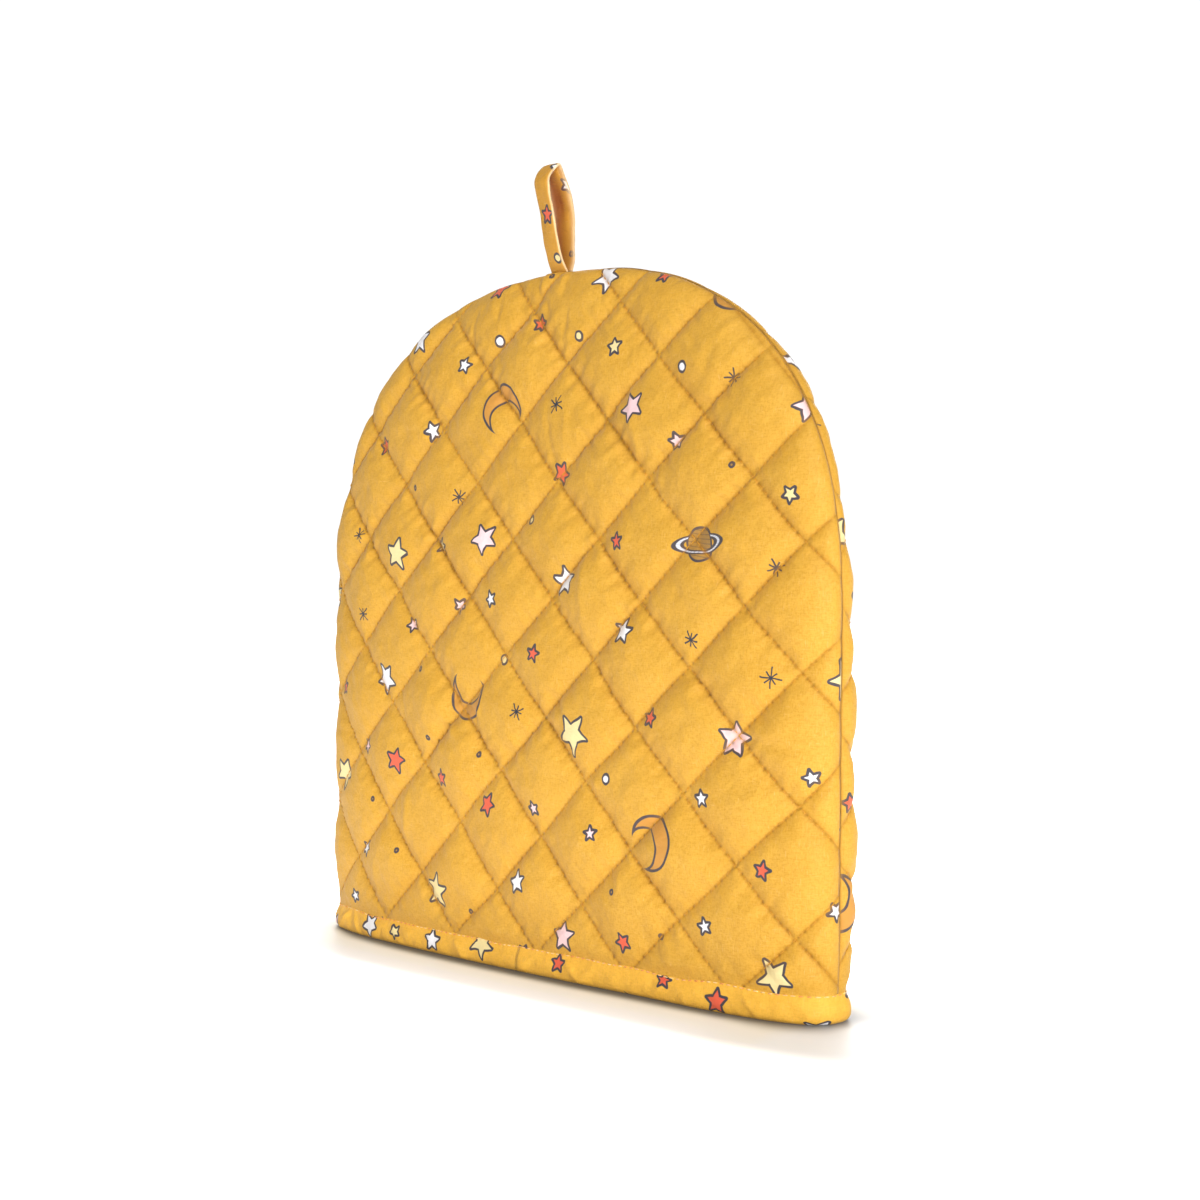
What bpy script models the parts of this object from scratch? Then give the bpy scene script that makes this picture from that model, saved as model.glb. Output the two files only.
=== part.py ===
"""A quilted tea cosy that stands on its hem.

Two domed, padded panels meet in a turned seam that runs over the top. Both are quilted in
diamonds. A narrow binding wraps the open hem, and a folded strip makes a loop at the top of
the seam. Units are metres, +Z is up, the front panel faces -Y, and the hem stands on Z = 0
with the cosy's centre at X = Y = 0.
"""

import bmesh
import bpy
import numpy as np
from mathutils import Vector
from mathutils.geometry import delaunay_2d_cdt

# ---- driving dimensions ---------------------------------------------------------------
BODY_HEIGHT = 0.290          # hem to the top of the seam
HEM_HALF_WIDTH = 0.1455      # middle to side seam, at the hem
FLARE = 0.005                # how much wider the half width would be at full height
SPRING_HEIGHT = 0.146        # where the straight sides turn into the dome
DOME_POWER = 2.37            # 2 is an ellipse, more is a squarer dome
HEM_HALF_DEPTH = 0.0235      # seam plane to the face, at the hem
WEDGE_POWER = 1.28           # how soon the depth draws in towards the top
SECTION_POWER = 2.7          # 2 is an elliptic cross-section, more has blunter sides
GAP = 0.0003                 # left between pieces that touch

PANEL_THICKNESS = 0.005      # from a quilting line's outer side to the lining's crests
QUILT_RELIEF = 0.0033        # how far a diamond stands above the stitching, outside
LINING_RELIEF = 0.0018       # how far a diamond stands into the cosy, inside
DIAMOND_WIDTH = 0.0507
DIAMOND_HEIGHT = 0.0485
QUILT_TURN = 0.0188          # radians that the quilting is off the panel's upright
PILLOW_SHARPNESS = 2.2       # more makes narrower valleys at the stitching
SEAM_VALLEY = 0.0045         # distance over which a panel rises from its seam

BINDING_HEIGHT = 0.011
HEM_INSET = 0.00175          # how far the binding's stitching draws the panel in
HEM_EASE = 0.011             # height over which the panel eases out above the binding
PANEL_FOOT = 0.0016          # underside of the panels, inside the binding
HEM_ROWS = (0.0115, 0.0155)  # level rows of points, just above the binding

LOOP_WIDTH = 0.010
LOOP_ROOM = 0.0021           # how far each panel gives way for the loop's ends
LOOP_ROOM_WIDTH = 0.0072
LOOP_ROOM_DEPTH = 0.0095
LOOP_ROOM_SHARE = 0.6        # where the seam's flat has points, from its outer edge in

# Quilting of each panel: the place of one crossing of its lines, along the cloth.
QUILT_ORIGIN = {
    "front_panel": (0.0379, 0.1781),
    "back_panel": (0.0110, 0.1640),
}

# Spacing of the points that carry the shape.
DIAMOND_STEPS = (0.0, 0.14, 0.38, 0.62, 0.86)
LINING_STEPS = (0.0, 0.5)
HEM_STATIONS = 20            # from the middle to a side seam
HEM_CROWDING = 0.45          # draws the stations towards the side seams
SEAM_STEP = 0.0078
LINING_SEAM_STEP = 0.0150
LOOP_SEAM_MARKS = (0.0084, 0.0056)      # more points on the seam, beside the loop
FACE_RINGS = (0.0026, 0.0068)           # rings of points that follow the seam inside it
LINING_RINGS = (0.0060,)
RING_CLEAR = 0.0038          # least room between the last ring and the quilting's points
HEM_CLEAR = 0.0040           # the same above the hem's last row
FORM_SAMPLES = 600           # heights at which the form's lengths are tabled
SECTION_SAMPLES = 181        # angles at which a level section is read
SEAM_SAMPLES = 900           # heights at which the seam's length is measured

CLOTH_COLOUR = (0.80, 0.43, 0.075, 1.0)
BINDING_COLOUR = (0.78, 0.41, 0.070, 1.0)
LOOP_COLOUR = (0.76, 0.39, 0.065, 1.0)
CLOTH_ROUGHNESS = 0.85
CREASE_ANGLE = np.radians(50.0)         # sharper edges than this are shaded as creases


def hem_parts():
    """Shares of the half girth at which the hem has points, closer near the side seam."""
    t = np.linspace(0.0, 1.0, HEM_STATIONS + 1)
    return t + HEM_CROWDING * np.sin(np.pi * t) / np.pi


def ease(value):
    """0 below 0, 1 above 1, and 3t^2 - 2t^3 between."""
    t = np.clip(value, 0.0, 1.0)
    return t * t * (3.0 - 2.0 * t)


# ---- the hollow form that the cloth follows -------------------------------------------
class DomeForm:
    """A dome whose level sections are superellipses, with the seam in the plane Y = 0.

    At height z a section reaches half_width(z) along X and half_depth(z) along Y. A place on
    it is given along the cloth: u runs level from the middle, v runs up the middle.
    """

    def __init__(self, inset=0.0):
        self.inset = inset
        depth_left = 1.0 - (inset / HEM_HALF_DEPTH) ** 2
        self.top = BODY_HEIGHT * depth_left ** (1.0 / WEDGE_POWER)
        rise = self.top * np.sin(np.linspace(0.0, np.pi / 2.0, FORM_SAMPLES))
        depth = self.half_depth(rise)
        steps = np.hypot(np.diff(rise), np.diff(depth))
        self.heights = rise
        self.lengths = np.concatenate([[0.0], np.cumsum(steps)])
        self.girths = np.array([self.section(z)[0][-1] for z in rise])

    def half_width(self, z):
        side = HEM_HALF_WIDTH + FLARE * z / BODY_HEIGHT - self.inset
        rise = np.clip((z - SPRING_HEIGHT) / (self.top - SPRING_HEIGHT), 0.0, 1.0)
        return side * (1.0 - rise ** DOME_POWER) ** (1.0 / DOME_POWER)

    def half_depth(self, z):
        rise = np.clip(z / BODY_HEIGHT, 0.0, 1.0)
        return np.maximum(HEM_HALF_DEPTH * np.sqrt(1.0 - rise ** WEDGE_POWER) - self.inset, 0.0)

    def section(self, z):
        """Lengths from the middle to the seam along a level section, and its points."""
        angle = np.linspace(0.0, np.pi / 2.0, SECTION_SAMPLES)
        x = self.half_width(z) * np.sin(angle) ** (2.0 / SECTION_POWER)
        y = self.half_depth(z) * np.cos(angle) ** (2.0 / SECTION_POWER)
        steps = np.hypot(np.diff(x), np.diff(y))
        return np.concatenate([[0.0], np.cumsum(steps)]), x, y

    def length_at(self, z):
        return np.interp(z, self.heights, self.lengths)

    def girth_at(self, z):
        return np.interp(z, self.heights, self.girths)

    def place(self, u, v):
        """The point at (u, v) on the +Y side, and the normal that points out of the dome."""
        z = float(np.interp(v, self.lengths, self.heights))
        along, x, y = self.section(z)
        x = float(np.interp(abs(u), along, x))
        y = float(np.interp(abs(u), along, y))
        return Vector((np.copysign(x, u), y, z)), self.normal(np.copysign(x, u), y, z)

    def normal(self, x, y, z):
        z = min(z, self.top - 1e-5)
        step = 1e-6
        width = self.half_width(z)
        depth = max(self.half_depth(z), 1e-5)
        width_slope = (self.half_width(z + step) - self.half_width(z - step)) / (2.0 * step)
        depth_slope = (self.half_depth(z + step) - self.half_depth(z - step)) / (2.0 * step)
        across = min(abs(x) / width, 1.0)
        through = min(y / depth, 1.0)
        out = Vector((
            np.copysign(across ** (SECTION_POWER - 1.0) / width, x),
            through ** (SECTION_POWER - 1.0) / depth,
            -(across ** SECTION_POWER * width_slope / width
              + through ** SECTION_POWER * depth_slope / depth),
        ))
        return out.normalized()

    def seam_heights(self, step, marks):
        """Heights of points along the seam, from the panel's foot to the top.

        They are spread evenly, up to the marks: places given by how far from the middle
        the seam is there.
        """
        climb = np.sin(np.linspace(0.0, np.pi / 2.0, SEAM_SAMPLES))
        z = PANEL_FOOT + (self.top - PANEL_FOOT) * climb
        width = self.half_width(z)
        above = z > SPRING_HEIGHT
        ends = [np.interp(-mark, -width[above], z[above]) for mark in (*marks, 0.0)]
        steps = np.hypot(np.diff(z), np.diff(width))
        along = np.concatenate([[0.0], np.cumsum(steps)])
        first, last = np.interp((HEM_ROWS[-1], ends[0]), z, along)
        spots = np.linspace(first, last, int(round((last - first) / step)) + 1)
        return np.concatenate([[PANEL_FOOT, HEM_ROWS[0]], np.interp(spots, along, z), ends[1:]])

    def outline(self, step, marks=()):
        """The panel's edge along the cloth: foot left to right, then seam right to left."""
        z = self.seam_heights(step, marks)
        right = np.column_stack([self.girth_at(z), self.length_at(z)])
        right[-1, 0] = 0.0
        foot_u = right[0, 0] * np.concatenate([-hem_parts()[:0:-1], hem_parts()])
        foot = np.column_stack([foot_u, np.full(len(foot_u), right[0, 1])])
        left = right[-2:0:-1] * (-1.0, 1.0)
        return foot, np.vstack([right[1:], left])


# ---- quilting -------------------------------------------------------------------------
def quilt_lines(u, v, origin):
    """Diagonal coordinates (a, b) in which every whole number is a line of stitching."""
    du, dv = u - origin[0], v - origin[1]
    level = (du - QUILT_TURN * dv) / DIAMOND_WIDTH
    upright = (dv + QUILT_TURN * du) / DIAMOND_HEIGHT
    return level + upright, level - upright


def quilt_place(a, b, origin):
    """The place along the cloth at diagonal coordinates (a, b)."""
    level = 0.5 * (a + b) * DIAMOND_WIDTH
    upright = 0.5 * (a - b) * DIAMOND_HEIGHT
    return level + QUILT_TURN * upright + origin[0], upright - QUILT_TURN * level + origin[1]


def pillow(u, v, origin):
    """0 on the stitching, 1 in the middle of a diamond."""
    height = 1.0
    for line in quilt_lines(u, v, origin):
        rise = 1.0 - np.exp(-PILLOW_SHARPNESS * abs(np.sin(np.pi * line)))
        height *= rise / (1.0 - np.exp(-PILLOW_SHARPNESS))
    return height


def to_edge(points, loop):
    """Distance of each (u, v) from a closed loop, and whether it lies inside."""
    start, end = loop, np.roll(loop, -1, axis=0)
    along = end - start
    offset = points[:, None, :] - start[None, :, :]
    t = np.clip((offset * along).sum(axis=2) / (along * along).sum(axis=1), 0.0, 1.0)
    distance = np.linalg.norm(offset - t[..., None] * along, axis=2).min(axis=1)
    above = start[:, 1] > points[:, None, 1]
    above_next = end[:, 1] > points[:, None, 1]
    rise = np.where(along[:, 1] == 0.0, 1.0, along[:, 1])
    crossing = start[:, 0] + (points[:, None, 1] - start[:, 1]) / rise * along[:, 0]
    inside = ((above != above_next) & (points[:, None, 0] < crossing)).sum(axis=1) % 2 == 1
    return distance, inside


def inward_ring(loop, inset):
    """The loop moved in by inset along the bisectors of its corners."""
    before = loop - np.roll(loop, 1, axis=0)
    after = np.roll(loop, -1, axis=0) - loop
    ways = before / np.linalg.norm(before, axis=1)[:, None]
    ways = ways + after / np.linalg.norm(after, axis=1)[:, None]
    ways /= np.linalg.norm(ways, axis=1)[:, None]
    return loop + inset * np.column_stack([-ways[:, 1], ways[:, 0]])


def quilt_points(form, loop, origin, steps, clear, foot_clear):
    """Points on and between the lines of stitching that lie well inside the loop."""
    reach = int(np.ceil(form.lengths[-1] / min(DIAMOND_WIDTH, DIAMOND_HEIGHT))) + 6
    marks = np.add.outer(np.arange(-reach, reach), steps).ravel()
    a, b = (axis.ravel() for axis in np.meshgrid(marks, marks))
    points = np.column_stack(quilt_place(a, b, origin))
    distance, inside = to_edge(points, loop)
    return points[inside & (distance > clear) & (points[:, 1] > foot_clear)]


def spread(form, loop, insets, foot_rows):
    """Rings inside the seam, and level rows above the foot."""
    rings = []
    for inset in insets:
        ring = inward_ring(loop, inset)
        distance, inside = to_edge(ring, loop)
        rings.append(ring[inside & (distance > 0.8 * inset) & (ring[:, 1] > foot_rows[-1])])
    for row in foot_rows:
        half = np.interp(row, form.lengths, form.girths)
        u = half * np.concatenate([-hem_parts()[-2:0:-1], hem_parts()[:-1]])
        rings.append(np.column_stack([u, np.full(len(u), row)]))
    return np.vstack(rings)


def triangulate(loop, inner_points):
    """Delaunay triangles of the region inside the loop. The loop's points come first."""
    points = [Vector(point) for point in np.vstack([loop, inner_points])]
    count = len(loop)
    edges = [(i, (i + 1) % count) for i in range(count)]
    verts, _, faces, _, _, _ = delaunay_2d_cdt(points, edges, [], 1, 1e-7)
    assert len(verts) == len(points)
    return [tuple(face) for face in faces]


# ---- one quilted panel ----------------------------------------------------------------
def loop_room(x, z):
    """How far a panel stands off the seam plane to let the hanging loop's ends in."""
    return (LOOP_ROOM * np.exp(-(abs(x) / LOOP_ROOM_WIDTH) ** 8)
            * np.exp(-((BODY_HEIGHT - z) / LOOP_ROOM_DEPTH) ** 4))


def lay_cloth(form, points, edge_count, lift, facing):
    """Places of cloth points in space, each moved out by lift(u, v, edge distance, z)."""
    distance, _ = to_edge(points, points[:edge_count])
    places = []
    for index, (u, v) in enumerate(points):
        point, out = form.place(u, v)
        on_seam = index < edge_count and v > points[:edge_count, 1].min() + 1e-9
        point += out * lift(u, v, 0.0 if on_seam else distance[index], point.z)
        depth = 0.0 if on_seam or abs(u) >= form.girth_at(point.z) - 1e-7 else point.y
        depth = max(depth, 0.0) + 0.5 * GAP + loop_room(point.x, point.z)
        height = PANEL_FOOT if v <= points[:edge_count, 1].min() + 1e-9 else point.z
        places.append((point.x, facing * depth, height))
    return places


def zip_rows(row_a, row_b, places):
    """Triangles between two rows of points that run side by side."""
    def along(row):
        line = np.array([places[i] for i in row])
        steps = np.linalg.norm(np.diff(line, axis=0), axis=1)
        return np.concatenate([[0.0], np.cumsum(steps)]) / steps.sum()

    part_a, part_b = along(row_a), along(row_b)
    faces, i, j = [], 0, 0
    while i < len(row_a) - 1 or j < len(row_b) - 1:
        a_is_next = j == len(row_b) - 1 or (i < len(row_a) - 1 and part_a[i + 1] <= part_b[j + 1])
        if a_is_next:
            faces.append((row_a[i], row_b[j], row_a[i + 1]))
            i += 1
        else:
            faces.append((row_a[i], row_b[j], row_b[j + 1]))
            j += 1
    return [face for face in faces if len(set(face)) == 3]


def seam_flat(face_seam, lining_seam, facing):
    """Points on the flat where the panels meet, between its outer and its inner edge."""
    rows = [np.array(row) for row in (face_seam, lining_seam)]
    parts = []
    for row in rows:
        steps = np.linalg.norm(np.diff(row, axis=0), axis=1)
        parts.append(np.concatenate([[0.0], np.cumsum(steps)]) / steps.sum())
    inner = np.column_stack([np.interp(parts[0], parts[1], column) for column in rows[1].T])
    middle = rows[0] + LOOP_ROOM_SHARE * (inner - rows[0])
    return [(x, facing * (0.5 * GAP + loop_room(x, z)), z) for x, _, z in middle[1:-1]]


def quilted_panel(name, facing):
    """A padded panel: quilted face, quilted lining, and a flat edge that joins the two."""
    origin = QUILT_ORIGIN[name]
    face_form, lining_form = DomeForm(), DomeForm(PANEL_THICKNESS)

    def hem_pull(z):
        return HEM_INSET * (1.0 - ease((z - BINDING_HEIGHT) / HEM_EASE))

    def face_lift(u, v, edge, z):
        rise = 1.0 - np.exp(-edge / SEAM_VALLEY)
        padded = ease((z - BINDING_HEIGHT) / HEM_EASE)
        return QUILT_RELIEF * pillow(u, v, origin) * rise * padded - hem_pull(z)

    def lining_lift(u, v, edge, z):
        rise = 1.0 - np.exp(-edge / SEAM_VALLEY)
        padded = ease((z - BINDING_HEIGHT) / HEM_EASE)
        return LINING_RELIEF * (1.0 - pillow(u, v, origin)) * rise * padded

    sheets = []
    for form, steps, step, marks, rings, lift in (
        (face_form, DIAMOND_STEPS, SEAM_STEP, LOOP_SEAM_MARKS, FACE_RINGS, face_lift),
        (lining_form, LINING_STEPS, LINING_SEAM_STEP, (), LINING_RINGS, lining_lift),
    ):
        foot, seam = form.outline(step, marks)
        loop = np.vstack([foot, seam])
        rows = [form.length_at(z) for z in HEM_ROWS]
        inner = spread(form, loop, rings, rows)
        clear, foot_clear = rings[-1] + RING_CLEAR, rows[-1] + HEM_CLEAR
        quilt = quilt_points(form, loop, origin, steps, clear, foot_clear)
        points = np.vstack([loop, inner, quilt])
        sheets.append((points, len(foot), len(loop), triangulate(loop, points[len(loop):]),
                       lay_cloth(form, points, len(loop), lift, facing)))

    face_points, face_foot, face_edge, face_faces, places = sheets[0]
    _, lining_foot, lining_edge, lining_faces, lining_places = sheets[1]
    start = len(places)
    places = places + lining_places
    faces = face_faces + [tuple(start + i for i in face) for face in lining_faces]

    face_row = list(range(face_foot))
    lining_row = [start + i for i in range(lining_foot)]
    faces += zip_rows(face_row, lining_row, places)
    face_row = [face_foot - 1, *range(face_foot, face_edge), 0]
    lining_row = [start + i for i in (lining_foot - 1, *range(lining_foot, lining_edge), 0)]
    flat = seam_flat([places[i] for i in face_row], [places[i] for i in lining_row], facing)
    flat_row = [face_row[0], *range(len(places), len(places) + len(flat)), face_row[-1]]
    places = places + flat
    faces += zip_rows(face_row, flat_row, places) + zip_rows(flat_row, lining_row, places)
    return make_object(name, places, faces, CLOTH_COLOUR)


# ---- the hem's binding ----------------------------------------------------------------
# A folded band seen end on, once around: which of the panels' two sides a point is measured
# from, how far it lies outside that side, and its height. Millimetres.
BINDING_SECTION = (
    # (side, out, height)
    ("face", -1.3, 11.0),
    ("face", -0.3, 11.2),
    ("face", 0.6, 10.0),
    ("face", 1.8, 7.4),
    ("face", 2.2, 4.8),
    ("face", 1.8, 2.2),
    ("face", 0.7, 0.6),
    ("face", -0.7, 0.0),
    ("lining", -0.1, 0.0),
    ("lining", 1.1, 0.5),
    ("lining", 2.0, 2.6),
    ("lining", 2.2, 6.0),
    ("lining", 1.4, 9.8),
    ("lining", 0.9, 11.2),
    ("lining", 0.3, 11.0),
    ("lining", 0.3, 1.3),
    ("face", -1.3, 1.3),
)


def hem_row(form, outset, height):
    """Points all around the hem at one height, moved outset out of the form."""
    quarter = []
    for part in hem_parts():
        point, out = form.place(part * form.girth_at(height), form.length_at(height))
        quarter.append(point.xy + out.xy.normalized() * outset)
    quarter[-1] = Vector((form.half_width(height) + outset, 0.0))
    row = []
    for mirror_x, mirror_y, back in ((1, -1, False), (1, 1, True), (-1, 1, False), (-1, -1, True)):
        run = quarter[::-1] if back else quarter
        row += [(mirror_x * point.x, mirror_y * point.y, height) for point in run[:-1]]
    return row


def hem_binding():
    """A closed band, U-shaped in section, that holds the edges of both panels."""
    forms = {"face": DomeForm(), "lining": DomeForm(PANEL_THICKNESS)}
    sign = {"face": 1.0, "lining": -1.0}
    rows = [hem_row(forms[side], sign[side] * out_mm / 1000.0, height_mm / 1000.0)
            for side, out_mm, height_mm in BINDING_SECTION]
    rings = [list(ring) for ring in zip(*rows)]
    return skin("hem_binding", rings, BINDING_COLOUR, closed=True)


# ---- the hanging loop -----------------------------------------------------------------
# The strip's middle line from its front end to its back end: how far in front of the seam
# plane, how high above the seam's top, how far the strip is turned there, and how thick it
# is, pressed thin in the seam. Millimetres and degrees.
LOOP_LINE = (
    # (forward, height, turn, thickness)
    (0.80, -6.0, 0.0, 1.1),
    (0.85, -2.0, 0.0, 1.2),
    (1.10, 1.6, 0.0, 1.5),
    (2.60, 7.0, -4.0, 1.6),
    (5.30, 15.5, -9.0, 1.6),
    (7.90, 26.0, -12.0, 1.6),
    (9.40, 35.0, -12.0, 1.6),
    (9.30, 41.0, -10.0, 1.6),
    (7.60, 44.8, -6.0, 1.6),
    (5.20, 45.2, -2.0, 1.6),
    (3.00, 41.6, 0.0, 1.6),
    (0.70, 35.0, 3.0, 1.6),
    (-1.40, 27.0, 5.0, 1.6),
    (-2.40, 18.0, 5.0, 1.6),
    (-2.30, 9.0, 3.0, 1.6),
    (-1.20, 2.0, 0.0, 1.5),
    (-0.85, -2.0, 0.0, 1.2),
    (-0.80, -6.0, 0.0, 1.1),
)
LOOP_STATIONS = 52
LOOP_SECTION_POINTS = 10
LOOP_EDGE_POWER = 0.45       # less makes the strip's section squarer across
LOOP_FACE_POWER = 0.60       # less makes its two faces flatter
CURVE_SAMPLES = 12           # places read between two rows of a smooth curve


def smooth_through(values, count):
    """A Catmull-Rom curve through rows of values, read at evenly spaced lengths."""
    values = np.asarray(values, dtype=float)
    padded = np.vstack([2.0 * values[0] - values[1], values, 2.0 * values[-1] - values[-2]])
    curve = []
    for before, start, end, after in zip(padded, padded[1:], padded[2:], padded[3:]):
        for t in np.linspace(0.0, 1.0, CURVE_SAMPLES, endpoint=False):
            curve.append(0.5 * (2.0 * start + (end - before) * t
                                + (2.0 * before - 5.0 * start + 4.0 * end - after) * t ** 2
                                + (3.0 * start - 3.0 * end + after - before) * t ** 3))
    curve = np.array(curve + [values[-1]])
    steps = np.linalg.norm(np.diff(curve[:, :2], axis=0), axis=1)
    along = np.concatenate([[0.0], np.cumsum(steps)])
    marks = np.linspace(0.0, along[-1], count)
    return np.column_stack([np.interp(marks, along, column) for column in curve.T])


def signed_power(value, power):
    return np.sign(value) * abs(value) ** power


def hanging_loop():
    """A folded strip, its ends side by side in the seam and its middle standing up."""
    line = smooth_through(LOOP_LINE, LOOP_STATIONS)
    middle = np.column_stack([np.zeros(len(line)), -line[:, 0], line[:, 1]]) / 1000.0
    middle[:, 2] += BODY_HEIGHT
    ways = np.gradient(middle, axis=0)
    angles = np.linspace(0.0, 2.0 * np.pi, LOOP_SECTION_POINTS, endpoint=False)
    rings = []
    for point, way, turn, thickness in zip(middle, ways, np.radians(line[:, 2]), line[:, 3]):
        way = Vector(way).normalized()
        across = Vector((np.cos(turn), np.sin(turn), 0.0))
        across = (across - way * across.dot(way)).normalized()
        through = way.cross(across)
        ring = []
        for angle in angles:
            reach = 0.5 * LOOP_WIDTH * signed_power(np.cos(angle), LOOP_EDGE_POWER)
            depth = 0.5 * thickness / 1000.0 * signed_power(np.sin(angle), LOOP_FACE_POWER)
            ring.append(Vector(point) + across * reach + through * depth)
        rings.append(ring)
    return skin("hanging_loop", rings, LOOP_COLOUR, closed=False)


# ---- making objects -------------------------------------------------------------------
def skin(name, rings, colour, closed):
    """A solid with quads between neighbouring rings, and flat ends where it isn't closed."""
    size = len(rings[0])
    verts = [tuple(point) for ring in rings for point in ring]
    spans = len(rings) if closed else len(rings) - 1
    faces = []
    for span in range(spans):
        low, high = span * size, (span + 1) % len(rings) * size
        for i in range(size):
            j = (i + 1) % size
            faces.append((low + i, low + j, high + j, high + i))
    if not closed:
        faces.append(tuple(range(size - 1, -1, -1)))
        faces.append(tuple(range(spans * size, spans * size + size)))
    return make_object(name, verts, faces, colour)


def cloth_material(name, colour):
    material = bpy.data.materials.new(name)
    material.use_nodes = True
    shader = material.node_tree.nodes["Principled BSDF"]
    shader.inputs["Base Color"].default_value = colour
    shader.inputs["Roughness"].default_value = CLOTH_ROUGHNESS
    shader.inputs["Metallic"].default_value = 0.0
    return material


def make_object(name, verts, faces, colour):
    mesh = bpy.data.meshes.new(name)
    mesh.from_pydata([tuple(vert) for vert in verts], [], faces)
    work = bmesh.new()
    work.from_mesh(mesh)
    bmesh.ops.recalc_face_normals(work, faces=work.faces)
    work.to_mesh(mesh)
    work.free()
    mesh.shade_smooth()
    mesh.set_sharp_from_angle(angle=CREASE_ANGLE)
    mesh.materials.append(cloth_material(name + "_cloth", colour))
    piece = bpy.data.objects.new(name, mesh)
    cosy.objects.link(piece)
    return piece


for leftover in list(bpy.data.objects):
    bpy.data.objects.remove(leftover, do_unlink=True)
cosy = bpy.data.collections.new("tea_cosy")
bpy.context.scene.collection.children.link(cosy)

quilted_panel("front_panel", facing=-1.0)
quilted_panel("back_panel", facing=1.0)
hem_binding()
hanging_loop()
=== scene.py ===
# %% [markdown]
# # A quilted tea cosy
#
# A tea cosy keeps a teapot warm. This one is two domed panels of padded, quilted cotton, sewn
# together over the top and down both sides. A narrow folded band binds the open hem, and a
# folded strip makes a loop at the top of the seam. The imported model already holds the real
# sizes, so this script only dresses it: finer cloth, thread, a print, light and a camera.

import bpy
import numpy as np
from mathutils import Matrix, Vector


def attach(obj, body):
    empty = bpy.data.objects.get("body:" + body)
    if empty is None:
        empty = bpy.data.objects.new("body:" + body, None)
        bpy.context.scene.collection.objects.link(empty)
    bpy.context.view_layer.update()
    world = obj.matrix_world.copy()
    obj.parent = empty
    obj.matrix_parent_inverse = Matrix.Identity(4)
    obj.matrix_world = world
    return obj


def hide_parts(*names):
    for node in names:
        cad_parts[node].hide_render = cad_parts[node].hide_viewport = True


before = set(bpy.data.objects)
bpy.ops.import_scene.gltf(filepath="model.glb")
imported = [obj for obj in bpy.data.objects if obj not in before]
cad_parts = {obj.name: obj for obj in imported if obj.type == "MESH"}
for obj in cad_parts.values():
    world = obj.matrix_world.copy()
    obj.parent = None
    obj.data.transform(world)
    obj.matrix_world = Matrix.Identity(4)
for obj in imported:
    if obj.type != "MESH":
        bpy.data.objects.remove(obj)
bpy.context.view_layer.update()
MM = 0.001
print("nodes:", sorted(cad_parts))

# %% [markdown]
# ## The form under the cloth
#
# Seen from the front the cosy has straight sides and a squarish dome. Seen from the side it is
# a wedge. Cut level, it is a superellipse: flatter than an ellipse on its faces and blunter at
# its sides. One could sculpt this by hand, but three short formulas give every point of it, the
# direction that points out of it, and lengths along the cloth for the quilting and the print.

# %% The cosy's driving sizes, in metres
BODY_HEIGHT = 0.290
HEM_HALF_WIDTH = 0.1455
FLARE = 0.005                # how much wider the half width would be at full height
SPRING_HEIGHT = 0.146        # where the straight sides turn into the dome
DOME_POWER = 2.37
HEM_HALF_DEPTH = 0.0235
WEDGE_POWER = 1.28
SECTION_POWER = 2.7
PANEL_THICKNESS = 0.005
TIP_CLEAR = 1e-5             # how near the very top a direction is still read
SECTION_SAMPLES = 241        # angles at which a level cut is worked out
CLIMB_SAMPLES = 800          # heights at which the cloth's length is worked out


# %% Widths and depths of the form
def form_top(inset):
    """Height at which a form that lies inset inside the outer one comes to a point."""
    return BODY_HEIGHT * (1 - (inset / HEM_HALF_DEPTH) ** 2) ** (1 / WEDGE_POWER)


def half_width(z, inset=0.0):
    """Straight side with a slight flare, times (1 - s^m)^(1/m) where s climbs through the dome."""
    s = np.clip((z - SPRING_HEIGHT) / (form_top(inset) - SPRING_HEIGHT), 0, 1)
    side = HEM_HALF_WIDTH + FLARE * z / BODY_HEIGHT - inset
    return side * (1 - s ** DOME_POWER) ** (1 / DOME_POWER)


def half_depth(z, inset=0.0):
    """Hem depth times the square root of 1 - (z / height)^p."""
    s = np.clip(z / BODY_HEIGHT, 0, 1)
    return np.maximum(HEM_HALF_DEPTH * np.sqrt(1 - s ** WEDGE_POWER) - inset, 0)


def running_length(points, axis=0):
    """Length of a line of points up to each of them: the sum of the steps before it."""
    steps = np.linalg.norm(np.diff(points, axis=axis), axis=-1)
    start = np.zeros_like(np.take(steps, [0], axis=axis))
    return np.concatenate([start, np.cumsum(steps, axis=axis)], axis=axis)


print("widest, mm:", round(2 * float(half_width(np.linspace(0, BODY_HEIGHT, 99)).max()) / MM, 1))


# %% Level cuts of the form, and the way out of it
def level_cuts(z, shares, inset=0.0):
    """Points on level cuts at heights z, at shares from -1 to 1 of the length from the middle
    to the seam. A cut is x = W sin(t)^(2/n), y = D cos(t)^(2/n), read by its running length."""
    t = np.linspace(0, np.pi / 2, SECTION_SAMPLES)
    x = half_width(z, inset)[:, None] * np.sin(t) ** (2 / SECTION_POWER)
    y = half_depth(z, inset)[:, None] * np.cos(t) ** (2 / SECTION_POWER)
    along = running_length(np.stack([x, y], axis=-1), axis=1)
    wanted = np.abs(shares) * along[:, -1:]
    x_at, y_at = (np.array([np.interp(w, a, line) for w, a, line in zip(wanted, along, lines)])
                  for lines in (x, y))
    return x_at * np.sign(shares), y_at, along[:, -1]


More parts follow.
